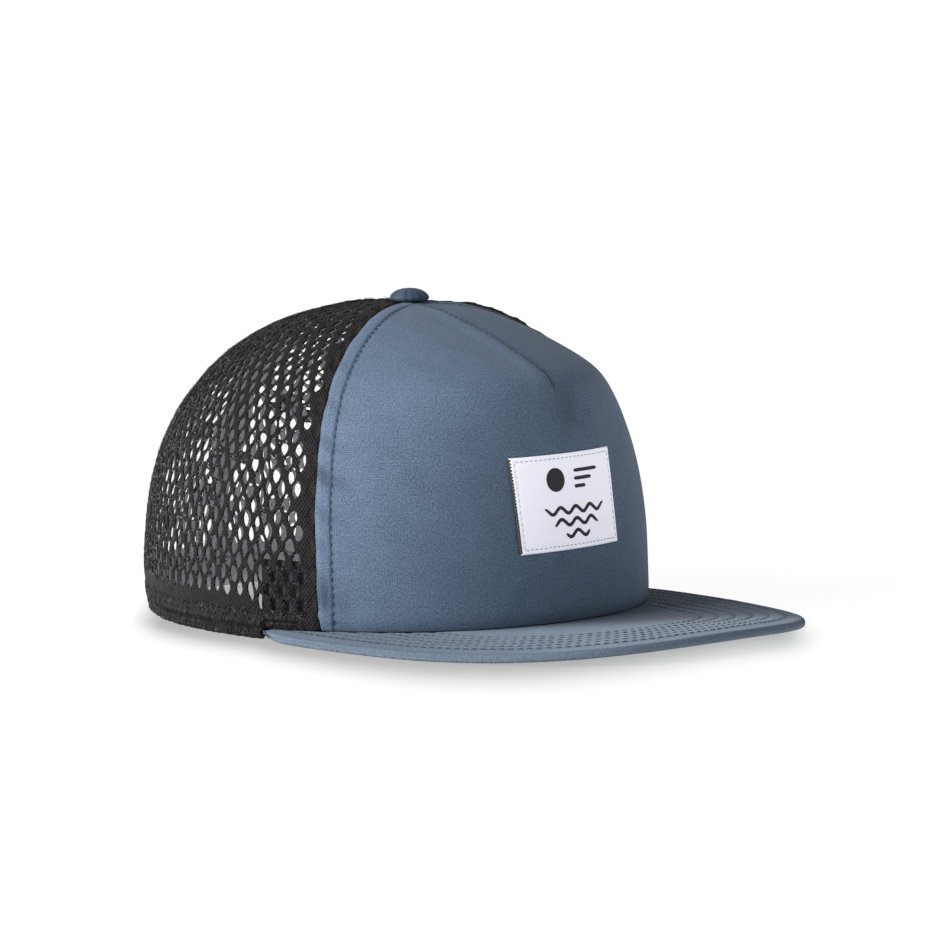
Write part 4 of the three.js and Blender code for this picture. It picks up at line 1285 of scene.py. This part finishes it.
def button():
    low, high = (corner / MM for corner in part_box("button"))
    seat = BRIM_THICKNESS + CROWN_HEIGHT + CLOTH_GAP
    head = BRIM_THICKNESS + CROWN_HEIGHT - FRONT_WALL - 0.9
    dome = [(BUTTON_RADIUS * math.cos(t) ** 1.1, seat + 0.9 + 3.7 * math.sin(t)) for t in np.linspace(0, 1.53, 16)]
    profile = [(0.01, low.z), (5.8, low.z), (6.0, low.z + 0.2), (6.0, head - 0.2), (5.8, head), (2.4, head)]
    profile += [(2.4, seat), (6.3, seat), (6.8, seat + 0.25)] + dome + [(0.01, high.z)]
    profile = np.array(profile)
    turn = TURN * np.arange(BUTTON_SIDES) / BUTTON_SIDES
    radius = profile[:, 0][:, None] * np.ones(BUTTON_SIDES)
    height = profile[:, 1][:, None] * np.ones(BUTTON_SIDES)
    edge = np.exp(-((profile[:, 1] - seat - 1.0) / 1.3) ** 2)[:, None] * (profile[:, 0] > 6.2)[:, None]
    radius = radius * (1 + 0.012 * edge * np.sin(11 * turn + 2 * np.sin(3 * turn)))
    height = height + 0.1 * (profile[:, 1] > seat + 1)[:, None] * soft_noise(radius * np.cos(turn), radius * np.sin(turn), 3, 41)
    x, y = radius * np.cos(turn), radius * np.sin(turn) + AXIS_Y
    vertices = np.stack([x, y, height], axis=-1).reshape(-1, 3)
    faces = []
    for row in range(len(profile) - 1):
        for k in range(BUTTON_SIDES):
            a, b = row * BUTTON_SIDES + k, row * BUTTON_SIDES + (k + 1) % BUTTON_SIDES
            faces.append([a, b, b + BUTTON_SIDES, a + BUTTON_SIDES])
    faces.append(list(range(BUTTON_SIDES - 1, -1, -1)))
    top = (len(profile) - 1) * BUTTON_SIDES
    faces.append(list(range(top, top + BUTTON_SIDES)))
    uv = np.stack([x.ravel(), (y - AXIS_Y).ravel() + height.ravel()], axis=1)
    # Painted shade in the "fold" mark: the whole button darker, more and less so in turn round its gathered folds.
    painted_gather_shade = 0.12 * np.sin(11 * turn + 2 * np.sin(3 * turn)) * (profile[:, 0] > 4)[:, None]
    fold = (BUTTON_PAINTED_SHADE + painted_gather_shade + 0.0 * radius).ravel()
    made = make_mesh("button_cloth", vertices, faces, uv, {"fold": fold})
    return finish_piece(made, blue_cloth("button_cloth", no_lines), "button")


# Label

def label_point(x, y, out):
    """A place on the label, in millimetres from its middle, a distance out from the crown."""
    x, y, out = np.broadcast_arrays(*(np.asarray(value, float) for value in (x, y, out)))
    turned_y = x * math.sin(LABEL_TURN) + y * math.cos(LABEL_TURN)
    x = LABEL_SIDE + x * math.cos(LABEL_TURN) - y * (math.sin(LABEL_TURN) + LABEL_LEAN)
    y = turned_y
    height = LABEL_CENTRE_HEIGHT + y
    middle = share_at_height(0.0 * y, height)
    angle = angle_across(x, middle)
    share = share_at_height(angle, height)
    across = angle * 0 + x
    lift = 0.35 * soft_noise(across, share * SIDE_LENGTH, 34, 5)
    return crown(angle, share, out + lift)


LABEL_COLUMNS = 97
LABEL_ROWS = 73


def label():
    x, y = np.meshgrid(np.linspace(-0.5, 0.5, LABEL_COLUMNS) * LABEL_WIDTH, np.linspace(-0.5, 0.5, LABEL_ROWS) * LABEL_HEIGHT)
    inside_x, inside_y = LABEL_WIDTH / 2 - np.abs(x), LABEL_HEIGHT / 2 - np.abs(y)
    inside = np.minimum(inside_x, inside_y)
    rounding = 0.35 * (1 - np.sqrt(1 - (1 - np.clip(inside / 0.8, 0, 1)) ** 2))
    drawn = 0.2 * np.exp(-((inside - LABEL_STITCH_INSET) / 0.6) ** 2)
    waves = 0.12 * soft_noise(x, y, 7, 51) + 0.1 * np.sin(TURN * (x + y) / 2.2) * np.exp(-((inside - 1.2) / 1.2) ** 2)
    top = CLOTH_GAP + LABEL_THICKNESS - rounding - drawn + waves * 0.6
    outer = label_point(x, y, top)
    inner = label_point(x, y, np.full_like(x, CLOTH_GAP))
    vertices, faces = thicken(outer.reshape(-1, 3), inner.reshape(-1, 3), grid_faces(*x.shape))
    uv = np.stack([x.ravel(), y.ravel()], axis=1)
    made = make_mesh("label_cloth", vertices, faces, np.vstack([uv, uv]))
    return finish_piece(made, label_weave("label_cloth"), "label")


PRINT_HEIGHT = CLOTH_GAP + LABEL_THICKNESS + 0.12
# The print: rows of waves and a disc, placed off the label's middle
WAVE_ROWS = [{"y": -3.0, "left": -13, "right": 17}, {"y": -7.2, "left": -9, "right": 13}, {"y": -11.4, "left": -4, "right": 8}]
WAVE_LENGTH = 7.5
WAVE_DEPTH = 1.1
WAVE_WIDTH = 1.25
DISC_MIDDLE = (-6.5, 8.0)
DISC_RADIUS = 4.2
BAR_ROWS = [{"y": 10.6, "left": 2.5, "right": 15}, {"y": 7.8, "left": 2.5, "right": 11.5}, {"y": 5.0, "left": 2.5, "right": 8}]


def flat_ribbon(x, y, width):
    """A ribbon along a curve on the label."""
    line = np.stack([x, y], axis=1)
    along = unit(np.gradient(line, axis=0))
    side = np.stack([-along[:, 1], along[:, 0]], axis=1)
    taper = width / 2 * np.sqrt(np.clip(1 - np.abs(np.linspace(-1, 1, len(x))) ** 12, 0.03, 1))
    left, right = line + side * taper[:, None], line - side * taper[:, None]
    plan = np.stack([right, line, left])
    top = label_point(plan[..., 0], plan[..., 1], PRINT_HEIGHT)
    low = label_point(plan[..., 0], plan[..., 1], PRINT_HEIGHT - 0.3)
    vertices, faces = thicken(top.reshape(-1, 3), low.reshape(-1, 3), grid_faces(3, len(x)))
    return vertices.tolist(), faces, np.vstack([plan.reshape(-1, 2)] * 2).tolist()


def flat_disc(middle, radius):
    rings, sides = 8, 48
    turn = TURN * np.arange(sides + 1) / sides
    radii = np.linspace(0.02, radius, rings)
    plan = np.stack([middle[0] + radii[:, None] * np.cos(turn), middle[1] + radii[:, None] * np.sin(turn)], axis=-1)
    top = label_point(plan[..., 0], plan[..., 1], PRINT_HEIGHT)
    low = label_point(plan[..., 0], plan[..., 1], PRINT_HEIGHT - 0.3)
    vertices, faces = thicken(top.reshape(-1, 3), low.reshape(-1, 3), grid_faces(rings, sides + 1))
    return vertices.tolist(), faces, np.vstack([plan.reshape(-1, 2)] * 2).tolist()


def label_print():
    parts = []
    for row in WAVE_ROWS:
        x = np.linspace(row["left"], row["right"], 90)
        parts.append(flat_ribbon(x, row["y"] + WAVE_DEPTH * np.sin(TURN * x / WAVE_LENGTH), WAVE_WIDTH))
    for row in BAR_ROWS:
        x = np.linspace(row["left"], row["right"], 30)
        parts.append(flat_ribbon(x, np.full_like(x, row["y"]), WAVE_WIDTH))
    parts.append(flat_disc(DISC_MIDDLE, DISC_RADIUS))
    return join_rows("label_print", parts, print_weave("label_print"))


def label_stitches():
    wide, tall = LABEL_WIDTH / 2 - LABEL_STITCH_INSET, LABEL_HEIGHT / 2 - LABEL_STITCH_INSET
    corners = [(-wide, -tall), (wide, -tall), (wide, tall), (-wide, tall)]
    rows = []
    for (x0, y0), (x1, y1) in zip(corners, corners[1:] + corners[:1]):
        part = np.linspace(0, 1, 60)
        x, y = lerp(x0, x1, part), lerp(y0, y1, part)
        path = label_point(x, y, CLOTH_GAP + LABEL_THICKNESS - 0.15)
        above = label_point(x, y, CLOTH_GAP + LABEL_THICKNESS + 0.85)
        girth = 0.2 if y0 == y1 else 0.12
        rows.append(stitch_row(path, unit(above - path), 1.3, 0.7, girth, 0.06))
    return join_rows("label_stitches", rows, thread("label_thread", color("b3b3d6"), color("d8d8f0")))


def label_edge():
    """Dark thread wound over the label's edge at the wearer's right."""
    y = np.linspace(-0.5, 0.5, 62) * (LABEL_HEIGHT - 0.4)
    x = np.full_like(y, -LABEL_WIDTH / 2)
    path = label_point(x, y, CLOTH_GAP + 0.45)
    above = label_point(x, y, CLOTH_GAP + 1.45)
    normals = unit(above - path)
    rows = [stitch_row(path[start:], normals[start:], 1.1, 0.05, 0.55, 0.0) for start in (0, 1)]
    return join_rows("label_edge", rows, thread("edge_thread", color("100d0a"), color("6a5a42")))


# Making

net_material = net_knit("net_knit")
thread_dark = thread("dark_thread", color("101820"), color("3c5060"))
thread_blue = thread("blue_thread", color("18222c"), color("566b7a"))
thread_dart = thread("dart_thread", color("0e151c"), color("3f5160"))
fuzz_material = fuzz_fibre("net_fuzz")

front_panel()
net_panel("net_right", "mesh_right", -1, 1)
net_panel("net_left", "mesh_left", 1, 2)
fibres("net_fuzz_right", -1, 5)
fibres("net_fuzz_left", 1, 6)
hem()
sweatband()
brim()
button()
label()
label_print()
label_stitches()
label_edge()
seam_stitches()
dart_stitches()
brim_stitches()


# Floor, light and camera

SUN_HEADING = math.radians(-108)
SUN_HEIGHT = math.radians(20)
SUN_SOFTNESS = math.radians(45)
SUN_STRENGTH = 5.4
SKY_LOW = 0.75
SKY_HIGH = 0.3
HORIZON_BAND = 0.03
HORIZON_STRENGTH = 1.05


FLOOR_FAR = 200000
FLOOR_STEP = 4
FLOOR_REACH = 320
SHADE_DEPTH = 0.53
SHADE_LENGTH_LEFT = 30
SHADE_LENGTH_RIGHT = 48
SHADE_BEHIND = 14
SHADE_BIN = 3
SHADE_ENDS = 7


def near_and_far_edges(right, near):
    """The cap's edges on the floor towards and away from the camera, at each place to its right."""
    rim = rim_point(np.linspace(-math.pi, math.pi, 3000), 0.9, 0)
    edge = brim_outline(3000)
    edge = np.column_stack([edge, brim_rise(edge[:, 0], edge[:, 1])])
    points = np.vstack([rim, edge])
    across = points[:, :2] @ right
    towards = points[:, :2] @ near - points[:, 2] / math.tan(CAMERA_ELEVATION)
    places = np.arange(across.min() + SHADE_BIN / 2, across.max(), SHADE_BIN)
    inside = [np.abs(across - place) < SHADE_BIN for place in places]
    nearest = [towards[chosen].max() for chosen in inside]
    farthest = [towards[chosen].min() for chosen in inside]
    return places, nearest, farthest


def floor():
    """The floor, with close-set lines round the cap and a mark for the soft shade in front of it."""
    right = np.array([math.cos(CAMERA_AZIMUTH), math.sin(CAMERA_AZIMUTH)])
    near = np.array([math.sin(CAMERA_AZIMUTH), -math.cos(CAMERA_AZIMUTH)])
    lines = np.arange(-FLOOR_REACH, FLOOR_REACH + 1, FLOOR_STEP)
    lines = np.concatenate([[-FLOOR_FAR], lines, [FLOOR_FAR]])
    across, towards = np.meshgrid(lines, lines)
    places, nearest, farthest = near_and_far_edges(right, near)
    past = towards - np.interp(across, places, nearest)
    behind = towards - np.interp(across, places, farthest)
    ends = smoothstep(across, places[0] - SHADE_ENDS, places[0] + SHADE_ENDS)
    ends = ends * smoothstep(-across, -places[-1] - SHADE_ENDS, -places[-1] + SHADE_ENDS)
    length = lerp(SHADE_LENGTH_LEFT, SHADE_LENGTH_RIGHT, smoothstep(across, -90, 30))
    shade = SHADE_DEPTH * np.exp(-(np.maximum(past, 0) / length) ** 2) * ends
    shade = shade * smoothstep(behind, -SHADE_BEHIND, SHADE_BEHIND)
    plan = across[..., None] * right + towards[..., None] * near
    vertices = np.dstack([plan, np.full_like(across, -0.2)]).reshape(-1, 3)
    faces = grid_faces(*across.shape)[:, ::-1]
    made = make_mesh("floor", vertices, faces, plan.reshape(-1, 2), {"shade": shade.ravel()})
    made.data.materials.append(floor_paper("floor_paper"))


def sun():
    data = bpy.data.lights.new("key_light", "SUN")
    data.energy = SUN_STRENGTH
    data.angle = SUN_SOFTNESS
    data.color = (1.0, 0.985, 0.965)
    made = bpy.data.objects.new("key_light", data)
    flat = math.cos(SUN_HEIGHT)
    towards = Vector((math.sin(SUN_HEADING) * flat, -math.cos(SUN_HEADING) * flat, math.sin(SUN_HEIGHT)))
    made.rotation_euler = (-towards).to_track_quat("-Z", "Y").to_euler()
    made.location = towards * 2
    bpy.context.scene.collection.objects.link(made)


def sky():
    """A pale sky, dimmer overhead, and white in a band along the horizon behind the cap."""
    world = bpy.data.worlds.new("studio")
    bpy.context.scene.world = world
    world.use_nodes = True
    tree = world.node_tree
    background = tree.nodes["Background"]
    background.inputs["Color"].default_value = (1, 1, 1, 1)
    split = tree.nodes.new("ShaderNodeSeparateXYZ")
    tree.links.new(tree.nodes.new("ShaderNodeTexCoord").outputs["Generated"], split.inputs[0])
    overhead = tree.nodes.new("ShaderNodeMapRange")
    overhead.inputs["To Min"].default_value = SKY_LOW
    overhead.inputs["To Max"].default_value = SKY_HIGH
    tree.links.new(split.outputs["Z"], overhead.inputs["Value"])
    low = tree.nodes.new("ShaderNodeMath")
    low.operation = "LESS_THAN"
    low.inputs[1].default_value = HORIZON_BAND
    tree.links.new(split.outputs["Z"], low.inputs[0])
    strength = tree.nodes.new("ShaderNodeMapRange")
    strength.inputs["To Max"].default_value = HORIZON_STRENGTH
    tree.links.new(low.outputs[0], strength.inputs["Value"])
    tree.links.new(overhead.outputs["Result"], strength.inputs["To Min"])
    tree.links.new(strength.outputs["Result"], background.inputs["Strength"])


floor()
sun()
sky()
bpy.context.scene.view_settings.view_transform = "Standard"


def photo_camera():
    azimuth, elevation, roll = CAMERA_AZIMUTH, CAMERA_ELEVATION, CAMERA_ROLL
    back = Vector((math.sin(azimuth) * math.cos(elevation), -math.cos(azimuth) * math.cos(elevation), math.sin(elevation)))
    right = Vector((math.cos(azimuth), math.sin(azimuth), 0))
    up = back.cross(right)
    target = Vector((0, AXIS_Y, TARGET_HEIGHT)) + right * TARGET_RIGHT + up * TARGET_UP
    turned_right = right * math.cos(roll) - up * math.sin(roll)
    turned_up = right * math.sin(roll) + up * math.cos(roll)
    rotation = Matrix((turned_right, turned_up, back)).transposed().to_4x4()
    data = bpy.data.cameras.new("photo_camera")
    data.lens = CAMERA_LENS
    data.sensor_width = 36
    data.clip_end = 1000
    made = bpy.data.objects.new("photo_camera", data)
    made.matrix_world = Matrix.Translation((target + back * CAMERA_DISTANCE) * MM) @ rotation
    bpy.context.scene.collection.objects.link(made)
    bpy.context.scene.camera = made


photo_camera()
